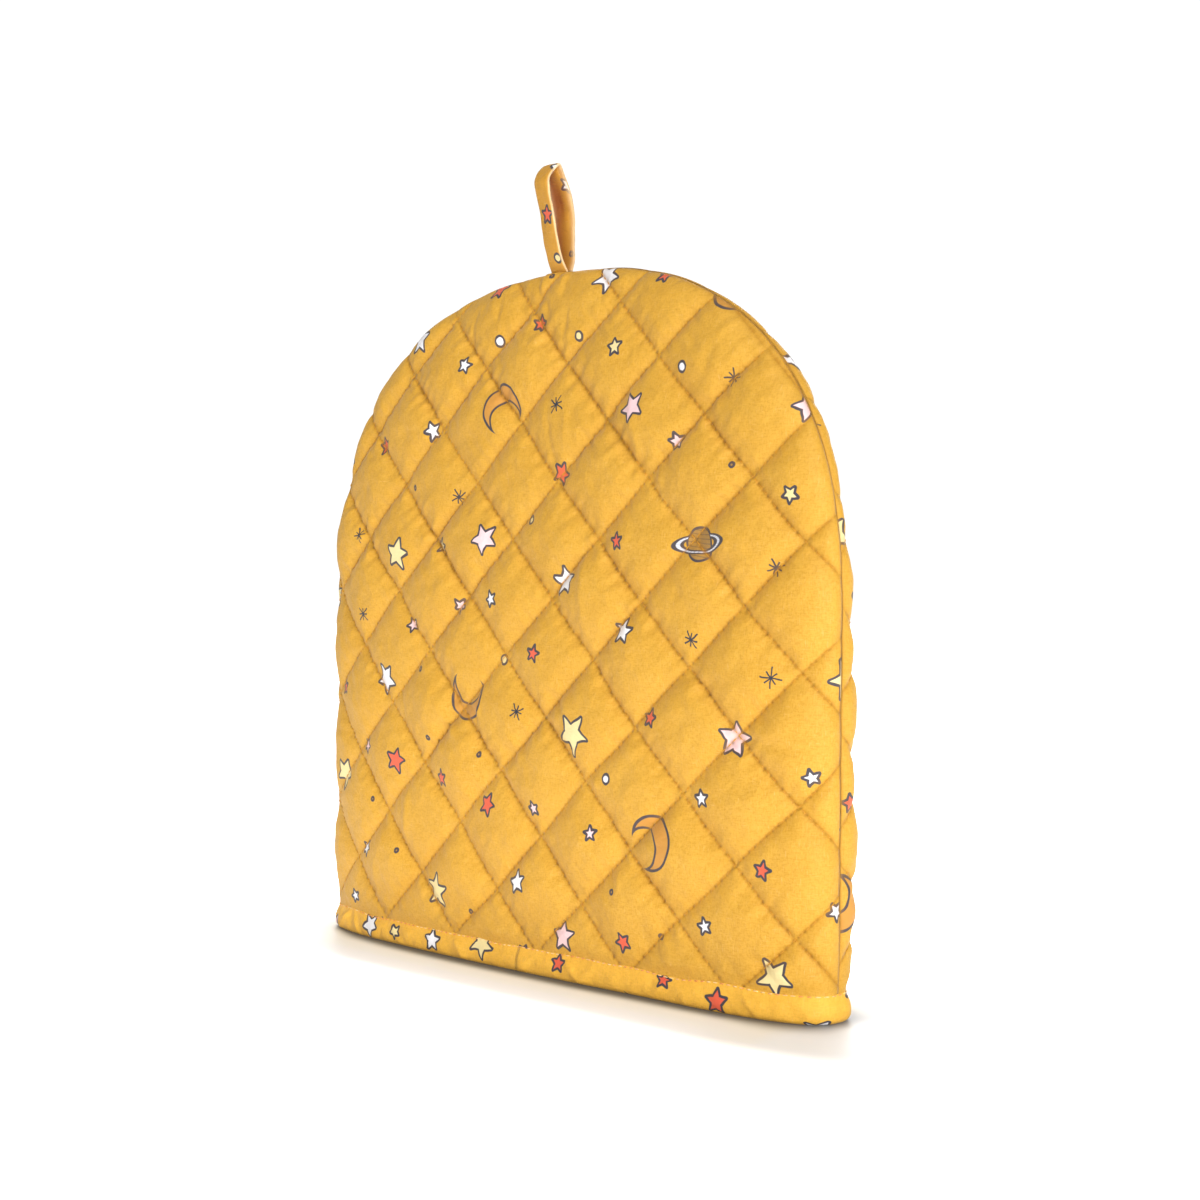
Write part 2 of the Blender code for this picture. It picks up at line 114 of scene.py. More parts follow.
def way_out(x, y, z, inset=0.0):
    """Unit direction out of the form: the slope of |x/W|^n + (y/D)^n, with W and D changing
    with height."""
    z = np.minimum(z, form_top(inset) - TIP_CLEAR)
    n, step = SECTION_POWER, 1e-6
    w, d = (np.maximum(reach(z, inset), TIP_CLEAR) for reach in (half_width, half_depth))
    w_slope, d_slope = ((reach(z + step, inset) - reach(z - step, inset)) / (2 * step)
                        for reach in (half_width, half_depth))
    across, through = np.minimum(np.abs(x) / w, 1), np.minimum(y / d, 1)
    rise = 1e-9 - across ** n * w_slope / w - through ** n * d_slope / d
    out = np.stack([np.sign(x) * across ** (n - 1) / w, through ** (n - 1) / d, rise], axis=-1)
    return out / np.linalg.norm(out, axis=-1, keepdims=True)


def climb(z, inset=0.0):
    """Length of the cloth from the hem up the middle of a panel to height z."""
    heights = form_top(inset) * np.sin(np.linspace(0, np.pi / 2, CLIMB_SAMPLES))
    line = np.stack([heights, half_depth(heights, inset)], axis=-1)
    return np.interp(z, heights, running_length(line))


print("cloth up the middle, mm:", round(float(climb(BODY_HEIGHT)) / MM, 1))

# %% [markdown]
# ## Quilting
#
# Wadding lies between the two cloths, and slanted rows of running stitch hold the three
# together. Each diamond stands up like a small pillow and the stitching lies in a valley. The
# lines are even in the cloth, so they are worked out in lengths along the cloth: two slanted
# coordinates, a and b, are whole numbers on the stitching. No two diamonds are alike, because
# the wadding shifts and the thread pulls, so each diamond has its own height, and small
# puckers run away from the stitching.

# %% Where the stitching lies, in mm
DIAMOND_WIDTH = 50.7
DIAMOND_HEIGHT = 48.5
QUILT_TURN = 0.0188          # radians that the quilting is off the upright
LINE_SPACING = float(1 / np.hypot(1 / DIAMOND_WIDTH, 1 / DIAMOND_HEIGHT))
STRAY = 0.45                 # how far a row of stitching wanders
QUILT_ORIGIN = {"front_panel": (37.9, 178.1), "back_panel": (11.0, 164.0)}
print("from one row of stitching to the next, mm:", round(LINE_SPACING, 1))

# %% Soft hills, the same each time
TURN = 6.28                  # a full turn, near enough for waves in random directions


def hills(x, y, size, seed):
    """Smooth uneven ground from about -1 to 1: nine sine waves added, each about size long,
    in random directions that the seed fixes."""
    random = np.random.default_rng(seed)
    ground = np.zeros(np.broadcast(x, y).shape)
    for turn, stretch, phase in random.uniform((0, 0.7, 0), (TURN, 1.5, TURN), (9, 3)):
        ground += np.sin(TURN * (x * np.cos(turn) + y * np.sin(turn)) / (size * stretch) + phase)
    return ground / 3.5


# %% From a place on the cloth to the quilting, and back
def quilt_lines(u, v, origin):
    """Slanted coordinates (a, b) of a place on the cloth. Whole numbers are stitching, which
    wanders a little, as a hand-guided row does."""
    du, dv = u - origin[0], v - origin[1]
    level = (du - QUILT_TURN * dv) / DIAMOND_WIDTH
    upright = (dv + QUILT_TURN * du) / DIAMOND_HEIGHT
    a_stray, b_stray = (STRAY / LINE_SPACING * hills(u, v, 42, seed) for seed in (61, 62))
    return level + upright + a_stray, level - upright + b_stray


def quilt_place(a, b, origin):
    """The place on the cloth, in mm, at slanted coordinates (a, b): the straight answer,
    mended twice by how far the wandering lines put it off."""
    a_try, b_try = a, b
    for _ in range(3):
        level, upright = (a_try + b_try) / 2 * DIAMOND_WIDTH, (a_try - b_try) / 2 * DIAMOND_HEIGHT
        u, v = level + QUILT_TURN * upright + origin[0], upright - QUILT_TURN * level + origin[1]
        a_got, b_got = quilt_lines(u, v, origin)
        a_try, b_try = a_try + a - a_got, b_try + b - b_got
    return u, v


def own_number(a, b, seed):
    """A number from 0 to 1 for each diamond: the far decimals of a large sine."""
    return np.modf(np.abs(np.sin(np.floor(a) * 12.99 + np.floor(b) * 78.23 + seed) * 4375.8))[0]


# %% The height of the quilted cloth, in mm
PILLOW_SHARPNESS = 1.7
LINE_SOFTNESS = 0.03         # rounds the very bottom of a valley
QUILT_RELIEF = 3.9
LINING_RELIEF = 1.8
SEAM_VALLEY = 6.0            # distance over which a panel rises from its seam
SEAM_SCALLOP = 0.35
BINDING_HEIGHT = 10.4
HEM_EASE = 6.0               # height over which the padding starts above the band
HEM_FLAT = 28.0              # height above the band in which the diamonds are held flatter
HEM_SWELL = 0.2


def ease(value):
    """0 below 0, 1 above 1, and 3t^2 - 2t^3 between."""
    t = np.clip(value, 0, 1)
    return t * t * (3 - 2 * t)


def bell(value, middle, width, power=2):
    """1 in the middle, falling to 0 on both sides: e^-(|value - middle| / width)^power."""
    return np.exp(-((value - middle) / width) ** power)


def pillow(a, b):
    """0 on the stitching and 1 in the middle of a diamond: for each coordinate
    1 - e^(-k |sin(pi a)|), divided by its largest value, and the two multiplied."""
    height = 1.0
    for line in (a, b):
        sine = np.sqrt(np.sin(np.pi * line) ** 2 + LINE_SOFTNESS ** 2) - LINE_SOFTNESS
        height = height * (1 - np.exp(-PILLOW_SHARPNESS * sine)) / (1 - np.exp(-PILLOW_SHARPNESS))
    return height


def pull(u, v, name):
    """How hard the stitching draws the cloth in: 1 with slow hills of 0.3, and much less in the
    front's lower left corner, where the cloth is stretched flat."""
    drawn = 1 + 0.3 * hills(u, v, 62, 71)
    if name == "front_panel":
        drawn = drawn - 0.62 * bell(u, -147, 42) * (1 - ease((v - 125) / 60))
    return np.clip(drawn, 0.15, 1.6)


def puckers(a, b, seed):
    """Small ridges that run square to a row of stitching and fade within a few mm of it."""
    total = 0.0
    for line, other in ((a, b), (b, a)):
        away = np.abs(line - np.round(line)) * LINE_SPACING
        ridge = hills(other * LINE_SPACING, away * 0.25 + np.round(line) * 40, 6.0, seed)
        total = total + ridge * np.exp(-away / 4.5) * (1 - np.exp(-away / 1.1))
    return total


# %% The main creases
CREASES = {
    # (across, up, lean from upright in degrees, length, width, height, bow), in mm
    "front_panel": (
        (-47, 267, 6, 20, 1.6, -0.6, 0.4), (-30, 277, 0, 12, 1.5, -0.6, 0),
        (12, 267, 5, 15, 1.6, -0.65, 0), (0, 274, -20, 12, 1.6, -0.5, 0),
        (31, 278, 0, 10, 1.4, -0.4, 0), (-69, 271, 58, 16, 1.5, -0.55, 0),
        (92, 247, 10, 10, 2.2, -0.5, 0), (52, 251, 0, 12, 1.3, 0.4, 0),
        (8, 221, -12, 26, 1.7, -0.75, 0.6), (17, 226, 0, 14, 1.8, 0.45, 0),
        (56, 223, -14, 24, 2.4, 0.85, 0.5), (104, 217, 20, 18, 2.2, 0.5, 0),
        (71, 199, -10, 18, 1.4, 0.6, 0.3), (58, 203, -5, 10, 1.3, 0.5, 0),
        (-126, 174, 70, 14, 1.6, -0.5, 0), (33, 158, -3, 28, 2.4, 0.75, 0.3),
        (4, 160, -4, 12, 1.4, 0.45, 0), (131, 131, 118, 24, 1.8, -0.8, 0),
        (136, 138, 110, 16, 1.6, -0.6, 0), (-21, 122, 5, 9, 1.3, 0.45, 0),
        (7, 115, 0, 12, 1.5, -0.55, 0), (-28, 108, 0, 14, 1.4, 0.65, 0),
        (-30, 102, -16, 22, 1.6, -0.65, -0.4), (-82, 108, -20, 14, 1.8, -0.5, 0),
        (25, 107, 0, 9, 1.3, 0.4, 0), (-128, 104, 98, 16, 1.6, -0.45, 0),
        (128, 101, 97, 27, 2.0, -1.1, 0), (-131, 92, 92, 18, 1.7, -0.5, 0),
        (43, 83, 10, 18, 2.0, 0.55, 0.3), (-75, 58, -2, 24, 2.4, 0.75, 0.2),
        (-134, 57, 85, 16, 1.7, -0.5, 0), (57, 44, 0, 10, 1.4, 0.45, 0),
        (-98, 30, 4, 16, 2.2, 0.6, 0),
    ),
    "back_panel": (
        (-20, 272, 8, 18, 1.6, -0.6, 0.3), (36, 268, -12, 14, 1.6, -0.5, 0),
        (-88, 236, 24, 20, 2.0, 0.6, 0), (64, 214, -8, 24, 2.2, 0.75, 0.4),
        (-14, 190, 4, 22, 1.7, -0.6, 0), (118, 176, 74, 18, 1.8, -0.6, 0),
        (-122, 150, 104, 18, 1.7, -0.55, 0), (40, 128, -4, 24, 2.2, 0.7, 0.2),
        (-52, 96, 12, 20, 1.8, -0.6, 0.3), (126, 84, 96, 22, 1.9, -0.8, 0),
        (84, 62, -10, 18, 2.0, 0.55, 0), (-18, 44, 0, 16, 1.8, 0.6, 0),
    ),
}


def creases(u, v, name):
    """Each crease is a ridge (+) or a trough (-): height times e^-(across / width)^2 times
    e^-(2 along / length)^4, where across is bent by bow times (along / 10)^2."""
    total = 0.0
    for place_u, place_v, lean, length, width, height, bow in CREASES[name]:
        cos, sin = np.cos(np.radians(lean)), np.sin(np.radians(lean))
        along = (u - place_u) * sin + (v - place_v) * cos
        across = (u - place_u) * cos - (v - place_v) * sin - bow * (along / 10) ** 2
        total = total + height * bell(across, 0, width) * bell(along, 0, length / 2, 4)
    return total


print("creases:", {name: len(rows) for name, rows in CREASES.items()})

# %% [markdown]
# ## From a grid of places to a closed piece
#
# A panel is drawn as a grid. Its columns are shares of the way from the middle to the seam, and
# its rows climb from the hem to the top, where the last row closes in a single point. The
# outer cloth and the lining are two such grids. Strips join them along the hem and the seam,
# so that the panel is one closed, padded shell.

# %% A little slump
FOOT_OUT = 3.5               # mm that the right-hand foot spreads
FOOT_FORWARD = 3.0


def slump(points):
    """Soft things are never quite true: the right-hand foot spreads out, most at the hem. A
    point's move follows from its place alone, so pieces that touch keep touching."""
    moved = np.array(points, float)
    foot = ease((moved[:, 0] / MM - 60) / 85) * (1 - ease(moved[:, 2] / MM / 135))
    moved[:, 0] += FOOT_OUT * MM * foot
    moved[:, 1] -= FOOT_FORWARD * MM * foot
    return moved


# %% Meshes from arrays
def read_all(items, field, kind=int, width=1):
    """One number, or width numbers, for each of a mesh's items, as an array."""
    values = np.zeros(len(items) * width, kind)
    items.foreach_get(field, values)
    return values if width == 1 else values.reshape(-1, width)


def make_piece(name, points, faces, cloth_mm=None, turned=False):
    """A mesh object from whole arrays. cloth_mm, if given, is each point's place on the cloth,
    kept as a UV map in mm."""
    mesh = bpy.data.meshes.new(name)
    faces = [face[::-1] for face in faces] if turned else faces
    mesh.from_pydata(slump(points).tolist(), [], faces)
    mesh.shade_smooth()
    piece = bpy.data.objects.new(name, mesh)
    bpy.context.scene.collection.objects.link(piece)
    if cloth_mm is not None:
        places = cloth_mm[read_all(mesh.loops, "vertex_index")].astype(np.float32)
        mesh.uv_layers.new(name="cloth_mm").uv.foreach_set("vector", places.ravel())
    print(name, "points:", len(mesh.vertices), "faces:", len(mesh.polygons))
    return piece


def grid_faces(numbers):
    """Four-sided faces between neighbours in a table of point numbers."""
    quads = np.stack([numbers[:-1, :-1], numbers[:-1, 1:], numbers[1:, 1:], numbers[1:, :-1]], -1)
    return quads.reshape(-1, 4).tolist()


def ring_closed(rows, axis=1):
    """The same rows with their first place repeated at the end."""
    return np.concatenate([rows, np.take(rows, [0], axis=axis)], axis=axis)


def unit(vectors):
    """Vectors shortened to length 1."""
    return vectors / np.linalg.norm(vectors, axis=-1, keepdims=True)


def add_number(mesh, name, values, domain="POINT", kind="FLOAT"):
    """Keeps one number, or one vector, for each point, corner or face of a mesh."""
    layer = mesh.attributes.new(name, kind, domain)
    field = "value" if kind == "FLOAT" else "vector"
    layer.data.foreach_set(field, np.asarray(values, np.float32).ravel())


# %% One cloth of a panel, as a grid
LOOP_ROOM = 2.1              # mm that each panel gives way for the loop's ends
LOOP_ROOM_WIDTH = 7.2
LOOP_ROOM_DEPTH = 9.5
PANEL_FOOT = 1.6             # height of the panels' lower edge, inside the band
HEM_ROWS_TOP = 20.0          # height up to which the rows lie closer
FACE_GRID = (288, 260)       # rows and columns
LINING_GRID = (144, 130)


def loop_room(x, z):
    """Metres that a panel stands off the seam's plane, to let the hanging loop's ends in."""
    across, below = np.abs(x) / (LOOP_ROOM_WIDTH * MM), (BODY_HEIGHT - z) / (LOOP_ROOM_DEPTH * MM)
    return LOOP_ROOM * MM * np.exp(-across ** 8) * np.exp(-below ** 4)


def row_levels(rows, foot, top):
    """Heights of the rows: even and close up to HEM_ROWS_TOP, then the sine of even steps."""
    low_rows, low_top = rows // 16, HEM_ROWS_TOP * MM
    low = np.linspace(foot, low_top, low_rows, endpoint=False)
    high = np.sin(np.linspace(0, np.pi / 2, rows - low_rows + 1))
    return np.append(low, low_top + (top - low_top) * high)


def off_band(z):
    """0 where the band holds the cloth, 1 from a few mm above it."""
    return ease((z / MM - BINDING_HEIGHT) / HEM_EASE)


def cloth_grid(name, facing, inset, size, height):
    """Rows and columns of points on a panel's cloth. height(u, v, a, b, edge, z) is in mm, along
    the way out. edge is the distance from the seam: the level distance times how upright the
    seam runs there."""
    rows, columns = size
    foot = PANEL_FOOT * MM
    z = row_levels(rows, foot, form_top(inset))
    shares = np.linspace(-1, 1, columns + 1)
    x, y, girth = level_cuts(z, shares, inset)
    v = climb(z, inset)[:, None] / MM
    girth = girth[:, None] / MM
    u = shares * girth
    slope = np.gradient(girth[:, 0], v[:, 0])[:, None]
    edge = np.minimum((girth - np.abs(u)) / np.hypot(1, slope), v[-1] - v)
    a, b = quilt_lines(u, v, QUILT_ORIGIN[name])
    tall = np.broadcast_to(z[:, None], x.shape)
    seam_lines = quilt_lines(girth * np.sign(shares), v, QUILT_ORIGIN["front_panel"])
    scallop = SEAM_SCALLOP * pillow(*seam_lines) * np.exp(-edge / SEAM_VALLEY)
    lift = height(u, v, a, b, edge, tall) + scallop * off_band(tall)
    points = np.stack([x, y, tall], axis=-1) + way_out(x, y, tall, inset) * (lift * MM)[..., None]
    points[:, [0, -1], 1] = 0
    points[-1] = points[-1].mean(axis=0)
    points[..., 1] = np.maximum(points[..., 1], 0) + loop_room(points[..., 0], points[..., 2])
    points[0, :, 2] = foot
    points[..., 1] *= facing
    return {"points": points, "u": u, "v": v, "girth": girth, "a": a, "b": b, "edge": edge}


# %% Heights of the outer cloth and of the lining
FACE_SEED = {"front_panel": 11, "back_panel": 47}
BELLY = {"front_panel": 0.0, "back_panel": 2.4}      # mm of swelling beside the right-hand seam
PLUMP_LEAST = 0.86           # share of the relief that each diamond has at least
PLUMP_MORE = 0.28            # and at most so much more
HELD_AT_BAND = 0.38          # share of the relief that is left just above the band
PUCKER_HEIGHT, LINING_PUCKERS = 0.85, 0.15           # mm


def side_swell(u, v, edge):
    """Low swellings beside the right-hand seam, where a panel that isn't stretched sags
    outwards: a long one up the side and a short one on the shoulder, each a bell across times
    a bell up."""
    side = bell(edge, 13, 10) * bell(v, 95, 80, 4) * ease((v - 10) / 24)
    shoulder = 1.1 * bell(v, 254, 46) + 0.35 * bell(v, 232, 14)
    return ease((u - 10) / 30) * (side + shoulder * bell(edge, 9, 8))


def padding(edge, z):
    """0 at the seam and at the band, where the cloth is sewn down flat, and 1 away from both."""
    return (1 - np.exp(-edge / SEAM_VALLEY)) * off_band(z)


def face_height(name):
    """The height of a panel's outer cloth as a function of the place on it."""
    seed, belly = FACE_SEED[name], BELLY[name]

    def height(u, v, a, b, edge, z):
        """Pillow times its own share, plus creases, puckers and slow hills, all fading at the
        seam and at the binding, which holds the cloth flatter for some way up."""
        rise, above = padding(edge, z), z / MM - BINDING_HEIGHT
        plump = PLUMP_LEAST + PLUMP_MORE * own_number(a, b, seed)
        raised = pillow(a, b)
        uneven = 0.40 * hills(u, v, 24, seed + 1) + 0.20 * hills(u, v, 9, seed + 2)
        drawn = pull(u, v, name)
        held = HELD_AT_BAND + (1 - HELD_AT_BAND) * ease(above / HEM_FLAT)
        lift = QUILT_RELIEF * plump * raised * (0.45 + 0.55 * drawn) * held + uneven * raised
        lift = lift + PUCKER_HEIGHT * puckers(a, b, seed + 3) * drawn + creases(u, v, name)
        return (lift + HEM_SWELL * bell(above, 5, 4.5)) * rise + belly * side_swell(u, v, edge)
    return height


def lining_height(seed):
    """The same for the lining."""
    def height(_u, _v, a, b, edge, z):
        """The lining swells inwards between the stitching, less than the outer cloth does."""
        swell = LINING_RELIEF * (1 - pillow(a, b)) + LINING_PUCKERS * puckers(a, b, seed + 5)
        return swell * padding(edge, z)
    return height


# %% Sew the two cloths into one shell
SEAM_REST = 0.6              # where the turned-in edges have a middle row of points


def flat(values):
    """A grid's values in one list, with the top row as a single point."""
    return np.concatenate([values[:-1].reshape(-1, *values.shape[2:]), values[-1, :1]])


def point_numbers(grid, start):
    """The number of each place's point in that list. The whole top row has the last one."""
    rows, columns = grid["u"].shape
    counted = np.arange(rows * columns).reshape(rows, columns)
    return start + np.minimum(counted, (rows - 1) * columns)


def panel(name, facing):
    """Outer grid, lining grid, and strips between them along the hem and the seam."""
    seed = FACE_SEED[name]
    grids = (cloth_grid(name, facing, 0.0, FACE_GRID, face_height(name)),
             cloth_grid(name, facing, PANEL_THICKNESS, LINING_GRID, lining_height(seed)))
    points = np.concatenate([flat(grid["points"]) for grid in grids])
    outer = point_numbers(grids[0], 0)
    inner = point_numbers(grids[1], outer[-1, 0] + 1)
    faces = grid_faces(outer[:-1]) + grid_faces(inner[:-1, ::-1])
    for table in (outer, inner[:, ::-1]):
        faces += np.stack([table[-2, :-1], table[-2, 1:], table[-1, 1:]], -1).tolist()

    # The edges: the outer cloth has two steps for each step of the lining.
    seam_out = np.concatenate([outer[:, -1], outer[-2::-1, 0]])
    seam_in = np.concatenate([inner[:, -1], inner[-2::-1, 0]])
    rest = points[seam_out][::2] + SEAM_REST * (points[seam_in] - points[seam_out][::2])
    rest[:, 1] = facing * loop_room(rest[:, 0], rest[:, 2])
    middle = len(points) + np.arange(len(rest))
    for out, near in ((outer[0], inner[0]), (seam_out, middle)):
        faces += np.stack([out[2::2], out[1::2], out[:-1:2], near[:-1], near[1:]], -1).tolist()
    faces += np.stack([middle[1:], middle[:-1], seam_in[:-1], seam_in[1:]], -1).tolist()
    # The middle row's ends close against the hem strip's ends.
    faces += [[seam_out[0], seam_in[0], middle[0]], [seam_in[-1], seam_out[-1], middle[-1]]]

    def everywhere(*keys):
        """Values of both grids, with 0 for the edges' middle row."""
        both = [[flat(np.broadcast_to(grid[key], grid["u"].shape)) for grid in grids]
                for key in keys]
        return np.stack([np.concatenate([*values, np.zeros(len(rest))]) for values in both], -1)

    places = everywhere("u", "v")
    piece = make_piece(name + "_cloth", np.concatenate([points, rest]), faces, places, facing > 0)
    add_number(piece.data, "quilt", everywhere("a", "b", "edge"), kind="FLOAT_VECTOR")
    add_number(piece.data, "pull", pull(*places.T, name))
    add_number(piece.data, "lining", np.arange(len(places)) > outer[-1, 0])
    return piece, *grids


front_cloth, front_face, front_lining = panel("front_panel", facing=-1)
back_cloth, back_face, back_lining = panel("back_panel", facing=1)

# %% [markdown]
# ## Stitches
#
# Running stitch shows as short lengths of thread that dip into the cloth at both ends. A
# painted dotted line would look flat in a close view, so each stitch is a small rounded length
# of thread. There are a few thousand, so each has only a few dozen faces, and all of them are
# laid at once by arrays: a stitch's own small grid is added to every stitch's place.

# %% Read a place off a panel's grid
def on_cloth(grid, u, v):
    """Point and way out at (u, v), read between the four nearest grid points."""
    points, levels = grid["points"], grid["v"][:, 0]
    rows, columns = points.shape[:2]
    level = np.interp(v, levels, np.arange(rows))
    girth = np.interp(v, levels, grid["girth"][:, 0])
    side = (np.clip(u / np.maximum(girth, 1e-3), -1, 1) + 1) / 2 * (columns - 1)
    i, j = np.clip(level.astype(int), 0, rows - 2), np.clip(side.astype(int), 0, columns - 2)
    s, t = (level - i)[:, None], (side - j)[:, None]
    low_1, low_2, high_1, high_2 = (points[i + p, j + q] for p in (0, 1) for q in (0, 1))
    place = (1 - s) * ((1 - t) * low_1 + t * low_2) + s * ((1 - t) * high_1 + t * high_2)
    return place, unit(np.cross(low_2 - low_1 + high_2 - high_1, high_1 - low_1 + high_2 - low_2))


# %% A few thousand stitches as one mesh
def stitches(starts, ends, ways, radius, sides=5, rings=5, sink=0.5):
    """Tubes between starts and ends, rounded in an arch along ways: the middle line lies at
    1.3 sin(pi t)^0.6 - sink radii above the cloth, and the tube narrows at both ends."""
    t = np.linspace(0, 1, rings)
    arch = np.sin(np.pi * t) ** 0.6
    angles = np.linspace(0, 2 * np.pi, sides, endpoint=False)
    line = ends - starts
    side = unit(np.cross(unit(line), ways))
    up = np.cross(side, unit(line))
    middle = starts[:, None] + line[:, None] * t[:, None]
    middle = middle + up[:, None] * (radius * (1.3 * arch - sink))[:, None]
    thick = radius * (0.35 + 0.65 * arch)
    around = (side[:, None, None] * np.cos(angles)[:, None]
              + up[:, None, None] * np.sin(angles)[:, None])
    points = middle[:, :, None] + around * thick[:, None, None]
    numbers = np.arange(rings * sides).reshape(rings, sides)
    tube = np.array(grid_faces(ring_closed(numbers)))[:, ::-1]
    offset = np.arange(len(starts)) * rings * sides
    faces = (offset[:, None, None] + tube).reshape(-1, 4).tolist()
    faces += (offset[:, None] + numbers[0]).tolist()
    faces += (offset[:, None] + numbers[-1, ::-1]).tolist()
    return points.reshape(-1, 3), faces


def thread_piece(name, runs):
    """One piece from several runs of stitches."""
    points, faces, count = [], [], 0
    for made, quads in runs:
        points.append(made)
        faces += [[count + i for i in face] for face in quads]
        count += len(made)
    return make_piece(name, np.concatenate(points), faces)


# %% Quilting thread of both panels
STITCH_PITCH = 3.3           # mm from one stitch to the next
STITCH_STEP = STITCH_PITCH / LINE_SPACING * 0.998
STITCH_LENGTH = 2.4
THREAD_RADIUS = 0.21
THREAD_WANDER = 0.10
HEM_CLEAR = 17.0             # mm kept free of stitches above the table, and at the seam
SEAM_CLEAR = 3.2
LINES_EACH_WAY = 9           # rows of stitching from the origin, more than fit on a panel


def on_panel(a, b, grid, origin):
    """Which places at (a, b) lie on the panel, clear of hem and seam."""
    u, v = quilt_place(a, b, origin)
    levels, girths = grid["v"][:, 0], grid["girth"][:, 0]
    slope = np.interp(v, levels, np.gradient(girths, levels))
    inside = (np.interp(v, levels, girths, right=0) - np.abs(u)) / np.hypot(1, slope) > SEAM_CLEAR
    return inside & (v > HEM_CLEAR) & (v < levels[-1] - SEAM_CLEAR)


def quilting_thread(name, grid, inner_grid, facing):
    """Stitches on every whole a and every whole b, outside and on the lining."""
    origin = QUILT_ORIGIN[name]
    random = np.random.default_rng(FACE_SEED[name])
    along = np.arange(-LINES_EACH_WAY, LINES_EACH_WAY, STITCH_STEP)
    lines = np.arange(-LINES_EACH_WAY, LINES_EACH_WAY)
    slant = [np.meshgrid(lines, along, indexing="ij"), np.meshgrid(along, lines, indexing="ij")]
    a, b = (np.concatenate([pair[k].ravel() for pair in slant]) for k in (0, 1))
    on_b = np.arange(len(a)) >= slant[0][0].size
    half = 0.5 * STITCH_LENGTH / LINE_SPACING * random.uniform(0.85, 1.1, len(a))
    wander = random.normal(0, THREAD_WANDER / LINE_SPACING, (2, len(a)))
    runs = []
    for cloth, sides, rings, outward in ((grid, 5, 5, 1.0), (inner_grid, 4, 4, -1.0)):
        keep = on_panel(a, b, cloth, origin)
        ends = []
        for way, off in zip((-half, half), wander):
            place = quilt_place((a + way * on_b + off * ~on_b)[keep],
                                (b + way * ~on_b + off * on_b)[keep], origin)
            ends.append(on_cloth(cloth, *place))
        ways = (ends[0][1] + ends[1][1]) * (-facing * outward)
        runs.append(stitches(ends[0][0], ends[1][0], ways, THREAD_RADIUS * MM, sides, rings))
    return thread_piece(name.replace("panel", "quilting_thread"), runs)


front_thread = quilting_thread("front_panel", front_face, front_lining, -1)
back_thread = quilting_thread("back_panel", back_face, back_lining, 1)

# %% [markdown]
# ## The binding of the hem
#
# The raw edges of both panels are held in a folded band that runs once around the hem and is
# sewn down along its upper edge. Its cut, seen end on, is a U. The same cut is carried around
# the hem at every place, measured from the outer form on one side and from the lining on the
# other. Bias binding never lies quite smooth, so slanted ripples and a few pulled folds are
# added where it bulges, and none where it is held by the stitching.

# %% The cut of the band and its way around the hem
BAND_CUT = (
    # (out, height) in mm once around the cut: over the upper edge, down the face, under the
    # hem, up the lining, and back down on the inside of the fold
    ("face", ((-1.4, 11.2), (-0.8, 11.6), (0.1, 11.5), (0.4, 10.9), (0.0, 10.3), (0.3, 9.6),
              (1.1, 8.0), (1.8, 5.6), (1.9, 3.0), (1.6, 0.9), (0.4, 0.0), (-1.6, 0.0))),
    ("lining", ((-0.3, 0.0), (1.0, 0.5), (1.9, 2.6), (2.0, 5.6), (1.3, 8.6), (0.6, 10.1),
                (0.9, 11.0), (0.5, 11.5), (0.2, 11.0), (0.2, 1.3))),
    ("face", ((-2.0, 1.3),)),
)
HEM_STATIONS = 128           # from the middle of a panel to a side seam
STATIONS_CLOSER = 0.45       # how much closer they lie at the seam
SECTION_POINTS = 64
SOFTENINGS = 2               # times that the cut's corners are averaged


def hem_ring(side, out, height):
    """Points all around the hem at one height, moved off the form along the level. One quarter
    is worked out and mirrored."""
    inset, away = (0.0, 1) if side == "face" else (PANEL_THICKNESS, -1)
    t = np.linspace(0, 1, HEM_STATIONS + 1)
    shares = t + STATIONS_CLOSER * np.sin(np.pi * t) / np.pi
    z = np.array([height * MM])
    x, y, _ = level_cuts(z, shares, inset)
    way = unit(way_out(x, y, np.full_like(x, z[0]), inset)[0, :, :2])
    way[-1] = (1, 0)
    quarter = np.column_stack([x[0], y[0]]) + way * (out * MM * away)
    quarter[0, 0], quarter[-1, 1] = 0, 0
    ring = np.concatenate([quarter[:-1] * (1, -1), quarter[:0:-1],
                           quarter[:-1] * (-1, 1), quarter[:0:-1] * (-1, -1)])
    return np.column_stack([ring, np.full(len(ring), height * MM)])


def closed_even(rows, count, softening):
    """Rows read again at even lengths around a closed cut, and softened by averaging each
    with its neighbours."""
    closed = ring_closed(rows, axis=0)
    along = running_length(closed[:, HEM_STATIONS // 2])
    marks = np.linspace(0, along[-1], count, endpoint=False)
    low = np.searchsorted(along, marks, side="right") - 1
    share = ((marks - along[low]) / (along[low + 1] - along[low]))[:, None, None]
    even = closed[low] * (1 - share) + closed[low + 1] * share
    for _ in range(softening):
        even = (np.roll(even, 1, axis=0) + 2 * even + np.roll(even, -1, axis=0)) / 4
    return even


cuts = [hem_ring(side, *place) for side, places in BAND_CUT for place in places]
smooth_band = closed_even(np.array(cuts), SECTION_POINTS, SOFTENINGS)
hem_marks = running_length(ring_closed(smooth_band[0], axis=0)) / MM
hem_around, hem_total = hem_marks[:-1], float(hem_marks[-1])
print("hem around, mm:", round(hem_total, 1))

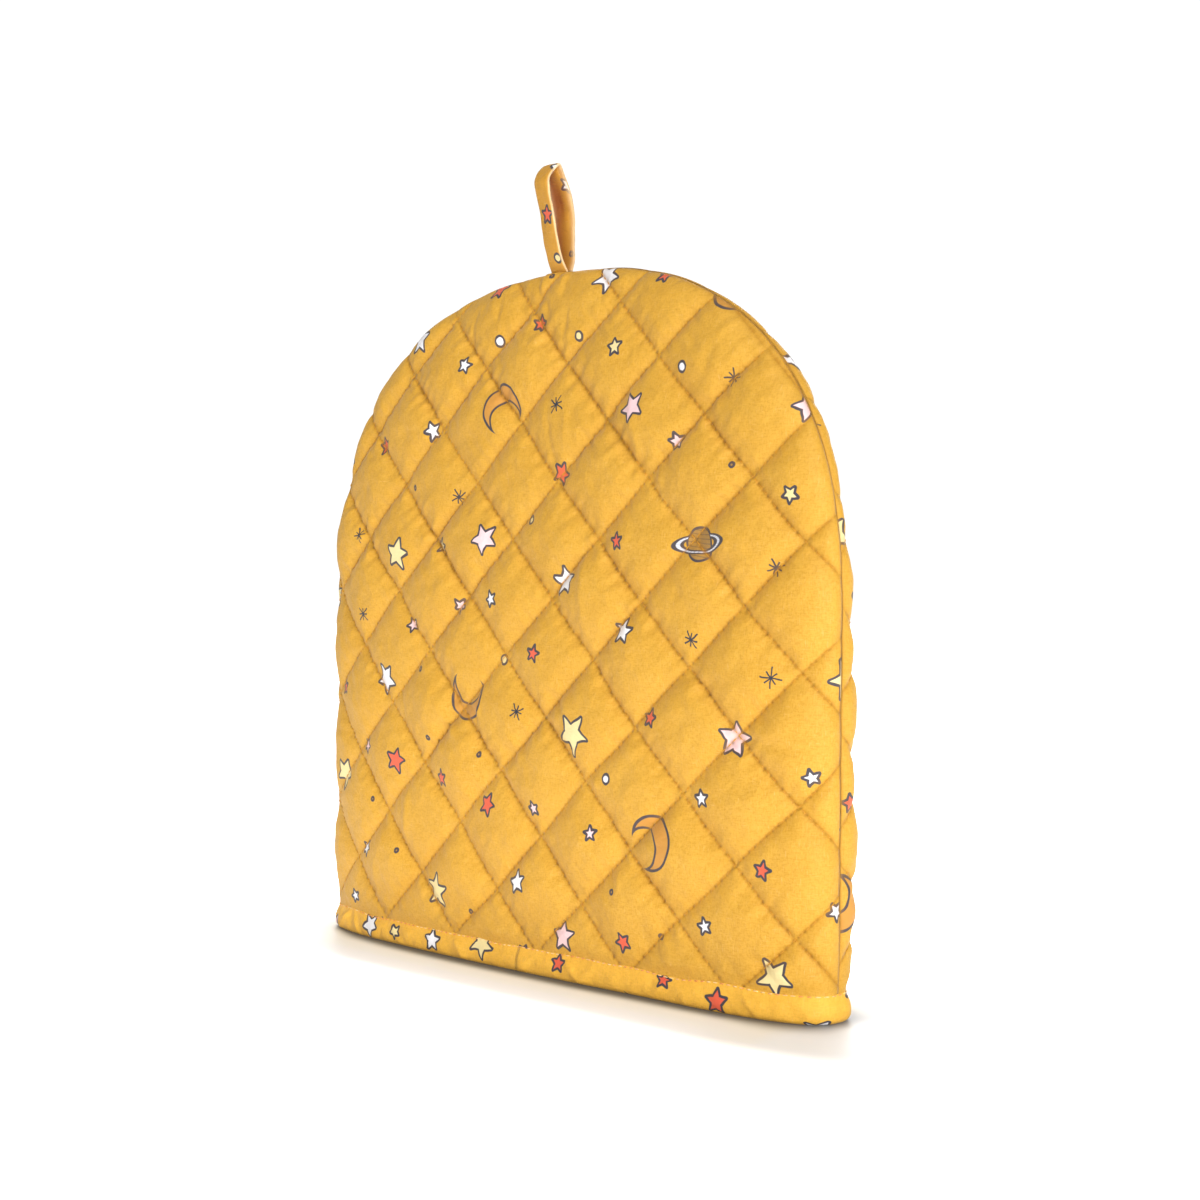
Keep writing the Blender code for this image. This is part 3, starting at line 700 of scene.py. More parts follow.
# %% Ripples, pulled folds and lifts, in mm around the hem from the front's middle
WAVES = (
    # (how many around the hem, slant, height, phase)
    (34, 0.30, 0.13, 0.3), (47, -0.26, 0.11, 1.9), (71, 0.42, 0.09, 4.0), (19, 0.10, 0.15, 2.2),
    (96, -0.50, 0.05, 0.9),
)
PULLED_FOLDS = (
    # (place, slant, width, depth)
    (-128, 1.1, 1.7, 0.85), (-117, -0.8, 1.5, 0.60), (-96, 0.9, 1.6, 0.45),
    (-84, -1.2, 1.9, 0.55), (-58, 0.7, 1.5, 0.35), (-38, -0.9, 1.6, 0.70),
    (-31, 1.0, 1.4, 0.45), (6, 1.2, 1.5, 0.60), (31, -1.0, 1.8, 0.75), (40, 0.8, 1.4, 0.50),
    (78, 0.7, 2.0, 0.45), (118, -0.9, 1.6, 0.55), (205, 0.9, 1.8, 0.60), (262, -1.0, 1.6, 0.60),
    (318, 0.8, 1.8, 0.50), (-190, -1.0, 1.6, 0.60), (-244, 0.9, 1.8, 0.55),
)
FOLD_SHARE = 1.3             # height of a pulled fold's ridge for each mm of depth
HEM_LIFTS = (
    # (place, half the length, height)
    (-52, 50, 0.35), (40, 46, 0.30), (236, 60, 0.8), (348, 56, 0.7),
)
EDGE_WANDER = 0.55           # how far the band's upper edge wanders up and down
EDGE_SPLIT = 7.5             # height between what lifts below and what wanders above


def from_place(place):
    """Distance around the hem from one place, the short way round, with its sign."""
    return (hem_around - place + hem_total / 2) % hem_total - hem_total / 2


def ripples(height):
    """Slanted waves that close on themselves around the hem, and a soft ridge for each pulled
    fold."""
    turn = 2 * np.pi * hem_around / hem_total
    wave = 0.0
    for count, slant, size, phase in WAVES:
        wave = wave + size * np.sin(count * turn + slant * height + phase)
    for place, slant, width, depth in PULLED_FOLDS:
        off = from_place(place) - slant * (height - 6)
        wave = wave + FOLD_SHARE * depth * bell(off, 0, width)
    return wave


def hem_rise(height):
    """How far the band's points move up: the lower edge stands off the table in a flat-topped
    bell for each lift, and the upper edge wanders."""
    turn = 2 * np.pi * hem_around / hem_total
    lift = sum(rise * bell(from_place(place), 0, half, 4) for place, half, rise in HEM_LIFTS)
    wander = EDGE_WANDER * hills(np.sin(turn) * 100, np.cos(turn) * 100, 34, 91)
    return lift * (1 - ease(height / EDGE_SPLIT)) + wander * ease((height - EDGE_SPLIT) / 3)


# %% The band as a closed ring
def around_step(rows, axis):
    """From each point's neighbour before to its neighbour after."""
    return np.roll(rows, -1, axis) - np.roll(rows, 1, axis)


band_normal = unit(np.cross(around_step(smooth_band, 0), around_step(smooth_band, 1)))
heights = smooth_band[..., 2] / MM
held = ease(heights / 2.5) * (1 - 0.85 * ease((heights - 7.2) / 3))
middle_of_cut = smooth_band.mean(axis=0, keepdims=True)
outside = np.sum(band_normal * (smooth_band - middle_of_cut), axis=-1) > 0
band = smooth_band + band_normal * (ripples(heights) * held * outside * MM)[..., None]
band[..., 2] += hem_rise(heights) * MM
band[..., 2] -= band[..., 2].min()

numbers = ring_closed(ring_closed(np.arange(heights.size).reshape(heights.shape)), axis=0)
cut_length = running_length(ring_closed(band[:, 0], axis=0)) / MM
band_places = np.stack(np.broadcast_arrays(hem_around, cut_length[:-1, None]), -1)
binding = make_piece("hem_binding_cloth", band.reshape(-1, 3), grid_faces(numbers),
                     band_places.reshape(-1, 2))
print("band's cut around, mm:", round(float(cut_length[-1]), 1))

# %% Topstitching of the band
TOPSTITCH_PITCH = 2.9
TOPSTITCH_LENGTH = 2.1
TOPSTITCH_RADIUS = 0.24
TOPSTITCH_HEIGHT = 10.3


def along_ring(marks, values):
    """Values of a ring's points, read at places in mm around the hem."""
    return np.column_stack([np.interp(marks, hem_marks, line) for line in ring_closed(values, 0).T])


def band_stitches():
    """Stitches on the band near its upper edge, outside and inside the cosy."""
    count = int(hem_total / TOPSTITCH_PITCH)
    random = np.random.default_rng(5)
    middle = (np.arange(count) + 0.5) / count * hem_total
    open_rows = np.where(outside.mean(axis=1) > 0.5)[0]
    is_inner = band[open_rows, 0, 1] > band[:, 0, 1].mean()
    runs = []
    for near in (open_rows[~is_inner], open_rows[is_inner]):
        row = near[np.argmin(np.abs(band[near, 0, 2] / MM - TOPSTITCH_HEIGHT))]
        half = 0.5 * TOPSTITCH_LENGTH * random.uniform(0.85, 1.1, count)
        starts, ends = (along_ring(marks, band[row]) for marks in (middle - half, middle + half))
        ways = along_ring(middle, band_normal[row])
        runs.append(stitches(starts, ends, ways, TOPSTITCH_RADIUS * MM, 6, 5, sink=0.35))
    return thread_piece("hem_topstitching", runs)


topstitching = band_stitches()

# %% [markdown]
# ## The hanging loop
#
# A strip is folded so that its raw edges are inside, doubled over, and caught in the seam at
# the top. It leans forward, and its two strands spread like a drop. The strip's cut is carried
# along a smooth line through a few chosen places. The edge that was folded is round. The other
# has a groove, where the two turned-in edges meet.

# %% The strip's line and its folds
LOOP_WIDTH = 10.0            # mm
LOOP_LINE = (
    # (forward, height, turn, thickness) in mm and degrees, from the front end to the back end
    (0.80, -6.0, 0, 1.1), (0.85, -2.0, 0, 1.2), (1.15, 0.4, -3, 1.4), (2.10, 2.2, -6, 1.5),
    (3.50, 4.6, -8, 1.6), (5.30, 9.0, -9, 1.6), (7.20, 16.8, -11, 1.6), (9.00, 25.6, -13, 1.6),
    (11.00, 32.8, -11, 1.6), (11.70, 37.0, -7, 1.6), (10.40, 40.0, -5, 1.6), (8.40, 42.4, -3, 1.6),
    (6.20, 44.1, 0, 1.6), (5.20, 42.9, 2, 1.7), (3.60, 39.8, 6, 1.8), (1.60, 35.3, 12, 2.0),
    (0.00, 29.8, 17, 2.0), (-1.30, 25.0, 16, 2.0), (-1.75, 19.0, 13, 2.0), (-2.00, 12.0, 8, 2.0),
    (-2.10, 5.0, 3, 1.7), (-1.20, 0.8, 0, 1.4), (-0.85, -2.5, 0, 1.2), (-0.80, -6.0, 0, 1.1),
)
LOOP_FOLDS = (
    # (mm along the strip, reach from its middle, half the length, half the width, height)
    (57.5, 1.4, 5.0, 1.5, 0.55), (69.0, -0.6, 7.0, 1.3, -0.60), (79.0, 1.8, 6.0, 1.4, 0.40),
)
LOOP_STATIONS = 200
LOOP_POINTS = 32
GROOVE = 0.7                 # mm that the groove goes in
CUPPING = 0.22               # mm that the strip is cupped
INNER_SIDE_AT = 20           # mm along the cloth from the outer side to the inner one


def smooth_through(values, count, pieces=12):
    """A Catmull-Rom curve through rows of values, read at even lengths."""
    p = np.asarray(values, float)
    p = np.vstack([2 * p[0] - p[1], p, 2 * p[-1] - p[-2]])
    t = (np.arange(pieces) / pieces)[None, :, None]
    before, start, end, after = (p[i:len(p) - 3 + i, None] for i in range(4))
    curve = 0.5 * (2 * start + (end - before) * t
                   + (2 * before - 5 * start + 4 * end - after) * t ** 2
                   + (3 * start - 3 * end + after - before) * t ** 3)
    curve = np.vstack([curve.reshape(-1, p.shape[1]), p[-2]])
    along = running_length(curve[:, :2])
    marks = np.linspace(0, along[-1], count)
    return np.column_stack([np.interp(marks, along, column) for column in curve.T]), marks


loop_line, loop_marks = smooth_through(LOOP_LINE, LOOP_STATIONS)
print("strip length, mm:", round(float(loop_marks[-1]), 1))


# %% The strip's cut, carried along its line
def signed_power(value, power):
    """|value|^power, with the value's own sign."""
    return np.sign(value) * np.abs(value) ** power


def loop_frame():
    """The line's points, and the two ways across the strip and through it at each."""
    middle = np.column_stack([np.zeros(len(loop_line)), -loop_line[:, 0], loop_line[:, 1]]) * MM
    middle[:, 2] += BODY_HEIGHT
    way = unit(np.gradient(middle, axis=0))
    turn = np.radians(loop_line[:, 2])
    across = np.column_stack([np.cos(turn), np.sin(turn), np.zeros(len(turn))])
    across = unit(across - way * np.sum(across * way, axis=1, keepdims=True))
    return middle[:, None], across[:, None], np.cross(way, across)[:, None]


def hanging_loop():
    """Cut: reach = w cos(t)^0.45 across, depth = h sin(t)^0.6 through, softly cupped, with a
    groove along one edge. Carried along the line with its own turn."""
    t = np.linspace(0, 2 * np.pi, LOOP_POINTS, endpoint=False)
    along, free, half = loop_marks[:, None], ease((loop_line[:, 1:2] - 1) / 6), LOOP_WIDTH / 2
    reach = half * signed_power(np.cos(t), 0.45)
    depth = 0.5 * loop_line[:, 3:] * signed_power(np.sin(t), 0.6)
    reach = reach * (1 + 0.022 * free * hills(along, reach * 3, 14, 3))
    reach = reach + GROOVE * bell(depth, 0, 0.2) * (reach < 0) * free
    folds = sum(height * bell(along, place, length) * bell(reach, off, width)
                for place, off, length, width, height in LOOP_FOLDS)
    cupped = CUPPING * ((reach / half) ** 2 - 0.5) + 0.10 * hills(along, reach * 2, 9, 8)
    depth = depth + free * (cupped + folds)
    middle, across, through = loop_frame()
    points = middle + across * reach[..., None] * MM + through * depth[..., None] * MM
    numbers = np.arange(reach.size).reshape(reach.shape)
    faces = grid_faces(ring_closed(numbers)) + [numbers[0, ::-1].tolist(), numbers[-1].tolist()]
    inner_side = np.broadcast_to(np.sin(t) > 0, reach.shape)
    places = np.stack([np.broadcast_to(along, reach.shape), reach + INNER_SIDE_AT * inner_side], -1)
    piece = make_piece("hanging_loop_cloth", points.reshape(-1, 3), faces,
                       places.reshape(-1, 2), turned=True)
    # Painted shade inside the loop: darkest beside the front strand, darker in the fold troughs and
    # lighter on their ridges.
    painted_inner_shade = inner_side * (1 - 0.75 * ease((reach + 4.0) / 7) - 0.8 * folds).clip(0, 1)
    add_number(piece.data, "inner_side", painted_inner_shade)
    # Painted highlight along the strip's folded edges, wider on its inner side.
    wear_and_highlight = np.exp(-((half - np.abs(reach).clip(0, half)) / (0.35 + 0.9 * inner_side)) ** 1.5)
    add_number(piece.data, "fold_edge_highlight", wear_and_highlight * (1 - 0.3 * inner_side))
    return piece


loop = hanging_loop()

# %% [markdown]
# ## The print
#
# The cotton is printed with a loose scatter of hand-drawn stars, small bursts and dots, with a
# few moons and ringed planets between them. An image could hold it, but here the print is drawn
# by the material. Each face of the mesh is told which motif lies nearest, and where on that
# motif it is. The material then needs only one drawing of each kind, and stays sharp at any
# distance. The scatter is even because every new motif takes the roomiest of a few places.

# %% Inks and motifs
def ink(red, green, blue):
    """A colour from 0 to 255 as light: ((c + 0.055) / 1.055)^2.4."""
    return tuple(float(((c / 255 + 0.055) / 1.055) ** 2.4) for c in (red, green, blue))


INKS = {
    "butter": ink(242, 222, 160), "white": ink(247, 246, 250), "blush": ink(250, 212, 214),
    "coral": ink(236, 98, 68), "navy": ink(34, 44, 62), "gold": ink(208, 146, 60),
    "umber": ink(170, 128, 62),
}
STAR, BURST, DOT, MOON, PLANET = range(5)
MOTIFS = (
    # (kind, ink, size from the middle mm, how many on a panel)
    (PLANET, "umber", 11.5, 3), (MOON, "gold", 10.5, 4), (STAR, "butter", 8.0, 9),
    (STAR, "white", 7.0, 5), (STAR, "blush", 7.0, 5), (STAR, "coral", 5.4, 6),
    (STAR, "white", 5.0, 5), (STAR, "coral", 3.9, 10), (BURST, "navy", 3.9, 10),
    (STAR, "blush", 3.5, 10), (STAR, "white", 3.5, 9), (STAR, "butter", 3.5, 5),
    (DOT, "white", 2.0, 4), (DOT, "butter", 1.8, 4), (DOT, "umber", 0.9, 16),
)
MOTIF_GAP = 1.0              # mm left free around a motif, at least


def scatter(reach, height, seed, share=1.0, tries=24):
    """Places for the motifs, the largest first. Each takes, out of a few random places, the
    one that leaves most room. A row is (u, v, size, kind, red, green, blue, turn, seed)."""
    random = np.random.default_rng(seed)
    placed = []
    for kind, colour, size, count in MOTIFS:
        for _ in range(max(1, round(count * share))):
            spots = random.uniform((-reach, 0), (reach, height), (tries, 2))
            spot = spots[0]
            if placed:
                known = np.array(placed)
                gaps = np.linalg.norm(spots[:, None] - known[None, :, :2], axis=2) - known[:, 2]
                room = gaps.min(axis=1)
                if room.max() < size + MOTIF_GAP:
                    continue
                spot = spots[np.argmax(room)]
            placed.append((*spot, size * random.uniform(0.9, 1.1), kind, *INKS[colour],
                           random.uniform(0, TURN), random.uniform(0, 50)))
    return np.array(placed)


# %% Tell each face its motif
FAR_OFF = 1000               # mm, a place on no motif


def lay_print(piece, motifs):
    """For each face the nearest motif, measured to its rim. For each corner its place on that
    motif, turned to the motif's own upright. Faces that touch the lining are left plain."""
    mesh = piece.data
    counts = read_all(mesh.polygons, "loop_total")
    face_of = np.repeat(np.arange(len(counts)), counts)
    places = read_all(mesh.uv_layers["cloth_mm"].uv, "vector", np.float32, 2)
    middle = np.column_stack([np.bincount(face_of, places[:, k]) for k in (0, 1)]) / counts[:, None]
    nearest, best = np.zeros(len(counts), int), np.full(len(counts), np.inf)
    for number, motif in enumerate(motifs):
        gap = np.hypot(*(middle - motif[:2]).T) - motif[2]
        nearest[gap < best] = number
        best = np.minimum(best, gap)
    chosen = motifs[nearest]
    off_u, off_v = (places - chosen[face_of, :2]).T
    cos, sin = np.cos(chosen[face_of, 7]), np.sin(chosen[face_of, 7])
    local = np.column_stack([off_u * cos + off_v * sin, off_v * cos - off_u * sin,
                             chosen[face_of, 2]])
    if "lining" in mesh.attributes:
        lined = read_all(mesh.attributes["lining"].data, "value", np.float32)
        bare = np.bincount(face_of, lined[read_all(mesh.loops, "vertex_index")]) > 0
        local[bare[face_of], :2] = FAR_OFF
    add_number(mesh, "motif_place", local, "CORNER", "FLOAT_VECTOR")
    add_number(mesh, "motif_ink", chosen[:, 4:7], "FACE", "FLOAT_VECTOR")
    facts = np.column_stack([chosen[:, 3], chosen[:, 8], np.zeros(len(chosen))])
    add_number(mesh, "motif_kind", facts, "FACE", "FLOAT_VECTOR")
    print(piece.name, "motifs:", len(motifs))


PANEL_REACH, PANEL_CLIMB = 163, 290      # mm of printed cloth, to each side and up
lay_print(front_cloth, scatter(PANEL_REACH, PANEL_CLIMB, 21))
lay_print(back_cloth, scatter(PANEL_REACH, PANEL_CLIMB, 22))
band_motifs = scatter(hem_total / 2, 24, 23, share=0.32)
band_motifs[:, 0] += hem_total / 2
lay_print(binding, band_motifs)
lay_print(loop, scatter(120, 26, 29, share=0.25))

# %% [markdown]
# ## Finishes
#
# Every finish is built from nodes. Two small helpers make that short: one adds nodes to a
# material, and the other lets what a node hands on be added and multiplied like a number, so
# that a finish reads like a list of sums. The cotton has four things to show: the dyed colour
# with its pale slubs, the print, the plain weave, and a painted shade along stitching and
# seams, where shade gathers.

# %% Node results that add and multiply like numbers
def operator(operation, turned=False):
    """What stands behind + - * / and **: a Math node, with its two values turned if asked."""
    def apply(self, other):
        return self.finish.maths(operation, *((other, self) if turned else (self, other)))
    return apply


class Result:
    """What a node hands on. Results can be added, multiplied and so on, like numbers."""

    def __init__(self, finish, socket):
        self.finish, self.socket = finish, socket

    __add__, __radd__ = operator("ADD"), operator("ADD", True)
    __sub__, __rsub__ = operator("SUBTRACT"), operator("SUBTRACT", True)
    __mul__, __rmul__ = operator("MULTIPLY"), operator("MULTIPLY", True)
    __truediv__, __rtruediv__ = operator("DIVIDE"), operator("DIVIDE", True)
    __pow__ = operator("POWER")


# %% A helper for finishes
class Finish:
    """One material, with short ways to add nodes to it."""

    def __init__(self, name):
        self.material = bpy.data.materials.new(name)
        self.material.use_nodes = True
        self.tree = self.material.node_tree
        self.shader = self.tree.nodes["Principled BSDF"]

    def feed(self, socket, value):
        """Links a result, or sets a number or a colour."""
        if isinstance(value, Result):
            self.tree.links.new(value.socket, socket)
        else:
            socket.default_value = (*value, 1.0) if socket.type == "RGBA" else value

    def node(self, kind, values=None, **settings):
        node = self.tree.nodes.new("ShaderNode" + kind)
        for name, value in settings.items():
            setattr(node, name, value)
        for key, value in (values or {}).items():
            self.feed(node.inputs[key], value)
        return node

    def add(self, kind, values=None, output=0, **settings):
        return Result(self, self.node(kind, values, **settings).outputs[output])

    def maths(self, operation, *values):
        return self.add("Math", dict(enumerate(values)), operation=operation)

    def length(self, x, y):
        return self.maths("SQRT", x * x + y * y)

    def step(self, value, low, high, start=0.0, end=1.0):
        """A soft step: start below low, end above high."""
        values = {"Value": value, "From Min": low, "From Max": high, "To Min": start, "To Max": end}
        return self.add("MapRange", values, interpolation_type="SMOOTHSTEP")

    def blend(self, share, first, second):
        return self.add("Mix", {"Factor": share, 6: first, 7: second}, 2, data_type="RGBA")

    def choose(self, share, first, second):
        return self.add("Mix", {"Factor": share, 2: first, 3: second}, data_type="FLOAT")

    def parts(self, vector):
        return [Result(self, part) for part in self.node("SeparateXYZ", {0: vector}).outputs]

    def join(self, x, y, z=0.0):
        return self.add("CombineXYZ", {0: x, 1: y, 2: z})

    def noise(self, where, scale, detail=2.0, roughness=0.5, output=0):
        values = {"Vector": where, "Scale": scale, "Detail": detail, "Roughness": roughness}
        return self.add("TexNoise", values, output)

    def read(self, name, output=1):
        """What the mesh keeps for each place: a vector, or a number from output 2."""
        return self.add("Attribute", output=output, attribute_name=name)

    def bump(self, height_mm):
        return self.add("Bump", {"Height": height_mm, "Distance": MM, "Strength": 1.0})

    def put(self, **values):
        for name, value in values.items():
            self.feed(self.shader.inputs[name.replace("_", " ")], value)
        return self.material


# %% Drawing the motifs, each about as large as 1, by signed distances
STAR_ARM, STAR_NOTCH = 0.90, 0.42    # reach of a star's arms and of the notches between them
STAR_ROUNDING = 0.07
PLANET_BALL = 0.56
RING_REACH, RING_HALF = 0.92, 0.15
RING_TILT = 3.4              # how much flatter than wide the ring looks
ARM_HALF = 0.30              # mm, half the width of a burst's arms


def folded(f, radius, angle, count):
    """A place along and beside the nearest of count even arms."""
    part = f.maths("PINGPONG", angle, np.pi / count)
    return radius * f.maths("COSINE", part), radius * f.maths("SINE", part)


def star(f, radius, angle):
    """Five arms: with the angle folded in five, one straight edge from an arm's tip to the
    notch stands for all ten. The distance to it is given the sign of its side."""
    edge_x = STAR_NOTCH * float(np.cos(np.pi / 5)) - STAR_ARM
    edge_y = STAR_NOTCH * float(np.sin(np.pi / 5))
    square = edge_x ** 2 + edge_y ** 2
    along, beside = folded(f, radius, angle, 5)
    along = along - STAR_ARM
    reach = along * (edge_x / square) + beside * (edge_y / square)
    reach = f.maths("MINIMUM", f.maths("MAXIMUM", reach, 0.0), 1.0)
    off = f.length(along - reach * edge_x, beside - reach * edge_y)
    return off * f.maths("SIGN", along * edge_y - beside * edge_x) - STAR_ROUNDING


def burst(f, radius, angle, size):
    """Eight thin arms, every other one longer."""
    _, from_arm = folded(f, radius, angle, 8)
    arm_length = f.maths("COSINE", angle * 4.0) * 0.14 + 0.86
    return f.maths("MAXIMUM", from_arm - ARM_HALF / size, radius - arm_length)


def moon(f, x, y, radius):
    """A disc less a disc."""
    return f.maths("MAXIMUM", (radius - 1.0) * 0.9, 0.78 - f.length(x - 0.46, y - 0.12))


def planet_ring(f, x, y, ball):
    """An oval ring, hidden where it passes behind the ball."""
    oval = f.length(x, y * RING_TILT)
    hidden = f.maths("GREATER_THAN", y, 0.0) * f.maths("LESS_THAN", ball, 0.0)
    return (f.maths("ABSOLUTE", oval - RING_REACH) - RING_HALF) * 0.5 + hidden


# %% The print over the cloth's colour
LINE_HALF = 0.50             # mm, half the width of a drawn line
LINE_VARIES = 0.24           # mm that this half width varies by in all
SHAKE, LARGE_SHAKE = 0.36, 0.16      # how far lines wander, in motif sizes: small ones, large ones
LINE_RIM, FILL_RIM = 0.11, 0.13      # mm over which a line, or a filled motif, fades out
OUTLINE = ink(66, 62, 70)


def printed(f, cloth_colour):
    """The cloth's colour with the motifs over it: filled where their distance in mm is below
    zero, outlined where it is near zero, and hatched on the planets."""
    x, y, size = f.parts(f.read("motif_place"))
    kind, seed, _ = f.parts(f.read("motif_kind"))
    x, y = x / size, y / size
    dx, dy, _ = f.parts(f.noise(f.join(x * 0.9, y * 0.9, seed), 1.0, 1.5, output=1))
    shaky = f.choose(f.maths("GREATER_THAN", kind, MOON - 0.5), SHAKE, LARGE_SHAKE)
    x, y = (dx - 0.5) * shaky + x, (dy - 0.5) * shaky + y
    radius, angle = f.length(x, y), f.maths("ARCTAN2", y, x)
    is_kind = {code: f.maths("COMPARE", kind, float(code), 0.5)
               for code in (BURST, DOT, MOON, PLANET)}

    def inside(distance, soft):
        return f.step(distance, -soft, soft, 1.0, 0.0)

    ball = radius - PLANET_BALL
    form = star(f, radius, angle)
    for code, shape in ((BURST, burst(f, radius, angle, size)), (DOT, radius - 1.0),
                        (MOON, moon(f, x, y, radius)), (PLANET, ball)):
        form = f.choose(is_kind[code], form, shape)
    ring = f.choose(is_kind[PLANET], 9.0, planet_ring(f, x, y, ball))
    form, ring = form * size, ring * size
    width = (dx - 0.5) * LINE_VARIES + LINE_HALF
    form_line = inside(f.maths("ABSOLUTE", form) - width + is_kind[BURST], LINE_RIM)
    ring_line = inside(f.maths("ABSOLUTE", ring) - width, LINE_RIM)

    stripes = f.maths("SINE", (y * size + x * 2.0) * 3.6)
    hatch = f.step(stripes, 0.55, 0.9) * (is_kind[PLANET] * 0.45)
    fill = f.blend(hatch, f.read("motif_ink"), INKS["navy"])
    colour = f.blend(inside(form, FILL_RIM), cloth_colour, fill)
    colour = f.blend(form_line, colour, OUTLINE)
    spokes = f.maths("SINE", f.maths("ARCTAN2", y * RING_TILT, x) * 34.0)
    ring_fill = f.blend(f.step(spokes, 0.2, 0.9, 0.0, 0.5), ink(222, 225, 236), ink(140, 140, 152))
    colour = f.blend(inside(ring, FILL_RIM), colour, ring_fill)
    return f.blend(ring_line, colour, OUTLINE)


# %% Shade and height beside the stitching
CLOTH = ink(219, 166, 56)
# A deeper tone of the cloth: its random mottle and grain, and also the painted shade beside the
# stitching.
DEEP_TONE_AND_SHADE = ink(192, 134, 8)
DIP, TUCK, HOLE = 0.95, 0.65, 0.25       # mm, how deep or how high each of them is


def stitched(f, shade, height):
    """Along each row of stitching the cloth dips: e^(-0.55 d) for the dip, with a light painted
    shade, and a narrower e^(-k d^2) for a darker painted shade in the valley. Short tucks run
    off it, and each stitch goes down into a hole with painted shade. The seam is painted darker
    too."""
    a, b, edge = f.parts(f.read("quilt"))
    drawn = f.read("pull", output=2)
    from_a, from_b = (f.maths("PINGPONG", line, 0.5) * LINE_SPACING for line in (a, b))
    off_seam = 1.0 - f.maths("EXPONENT", edge * (-1 / 8))
    for away, crossing, along, narrow, share, seed in (
        (from_a, from_b, b, -1.5, 0.66, 0.0),
        (from_b, from_a, a, -2.8, 0.58, 30.0),
    ):
        valley = f.maths("EXPONENT", away * away * narrow)
        near = f.maths("EXPONENT", away * -0.55)
        tucks = f.noise(f.join(along * (LINE_SPACING * 0.42), away * 0.10), 1.0, 1.0)
        stitch = f.maths("PINGPONG", (along + float(LINES_EACH_WAY)) / STITCH_STEP, 0.5)
        hole = f.step(stitch, 0.24, 0.48) * valley * off_seam
        height = height - near * drawn * DIP + near * tucks * TUCK - hole * HOLE
        beads = f.noise(f.join(along * (LINE_SPACING * 0.22), seed), 1.0, 2.0)
        open_line = f.step(crossing, 0.6, 4.5, 0.35, 1.0)
        dark = drawn * open_line * f.step(beads, 0.34, 0.68, 0.35, 1.0)
        # Painted shade: the cloth is darkened beside each row, most in the valley and in the holes.
        shade = f.blend(near * drawn * 0.26, shade, DEEP_TONE_AND_SHADE)
        shade = f.blend(valley * dark * share, shade, ink(178, 119, 2))
        shade = f.blend(hole * dark * 0.62, shade, ink(156, 101, 2))
    # Painted shade along the seam's valley.
    seam = f.maths("EXPONENT", edge * -1.2)
    return f.blend(seam * 0.50, shade, ink(182, 125, 14)), height


# %% Dyed cotton
WEAVE_PITCH = 0.42           # mm


def streaks(f, u, v, fine, long, seed, *settings):
    """Noise drawn out along the warp, and noise drawn out along the weft."""
    return (f.noise(f.join(u * fine, v * long), 1.0, *settings),
            f.noise(f.join(u * long, v * fine, seed), 1.0, *settings))


def cotton(name, colour=CLOTH, quilted=False, folded_strip=False):
    """Plain-woven dyed cotton. Warp and weft are two sine waves that pass over each other in
    turn. Slubs are noise stretched along either thread."""
    f = Finish(name)
    place = f.add("UVMap", uv_map="cloth_mm")
    u, v, _ = f.parts(place)
    warp, weft = streaks(f, u, v, 2.6, 0.22, 7.0)
    slub = f.maths("MAXIMUM", f.step(warp, 0.60, 0.78), f.step(weft, 0.62, 0.80))
    cloudy = f.noise(place, 0.045, 3.0)
    shade = f.blend(f.step(cloudy, 0.3, 0.7, 0.0, 0.16), colour, DEEP_TONE_AND_SHADE)
    shade = f.blend(slub * 0.24, shade, ink(255, 222, 160))
    grain_up, grain_across = streaks(f, u, v, 1.7, 0.5, 5.0, 3.0, 0.7)
    grain = f.step(grain_up + grain_across, 0.74, 1.14, 0.54 if quilted else 0.26, 0.0)
    shade = printed(f, f.blend(grain, shade, DEEP_TONE_AND_SHADE))

    across, up = (f.maths("SINE", line * (2 * np.pi / WEAVE_PITCH)) for line in (u, v))
    height = (warp + weft) * 0.05 + across * up * 0.012 + f.noise(place, 0.24, 4.0, 0.55) * 0.62
    if quilted:
        shade, height = stitched(f, shade, height)
    if folded_strip:
        # Painted shade inside the loop, read from the inner_side number.
        shade = f.blend(f.read("inner_side", output=2) * 0.97, shade, ink(134, 62, 0))
        # Painted highlight along the loop's folded edges.
        shade = f.blend(f.read("fold_edge_highlight", output=2) * 0.80, shade, ink(252, 218, 168))
    return f.put(Base_Color=shade, Roughness=0.66, Specular_IOR_Level=0.45, Sheen_Weight=0.18,
                 Sheen_Roughness=0.45, Sheen_Tint=(1.0, 0.86, 0.6), Normal=f.bump(height))


# %% Sewing thread
def thread(name, colour, worn_colour=DEEP_TONE_AND_SHADE, wear_and_highlight=0.35):
    """Twisted cotton thread: slanted fine ridges and a little more gloss than the cloth."""
    f = Finish(name)
    place = f.add("TexCoord", output=3)
    x, y, z = f.parts(place)
    twist = f.maths("SINE", (x + y + z) * 9000.0)
    cloudy = f.noise(place, 260.0)
    shade = f.blend(f.step(cloudy, 0.42, 0.58, 0.0, wear_and_highlight), colour, worn_colour)
    return f.put(Base_Color=shade, Roughness=0.62, Specular_IOR_Level=0.35, Sheen_Weight=0.15,
                 Normal=f.bump(twist * 0.02))


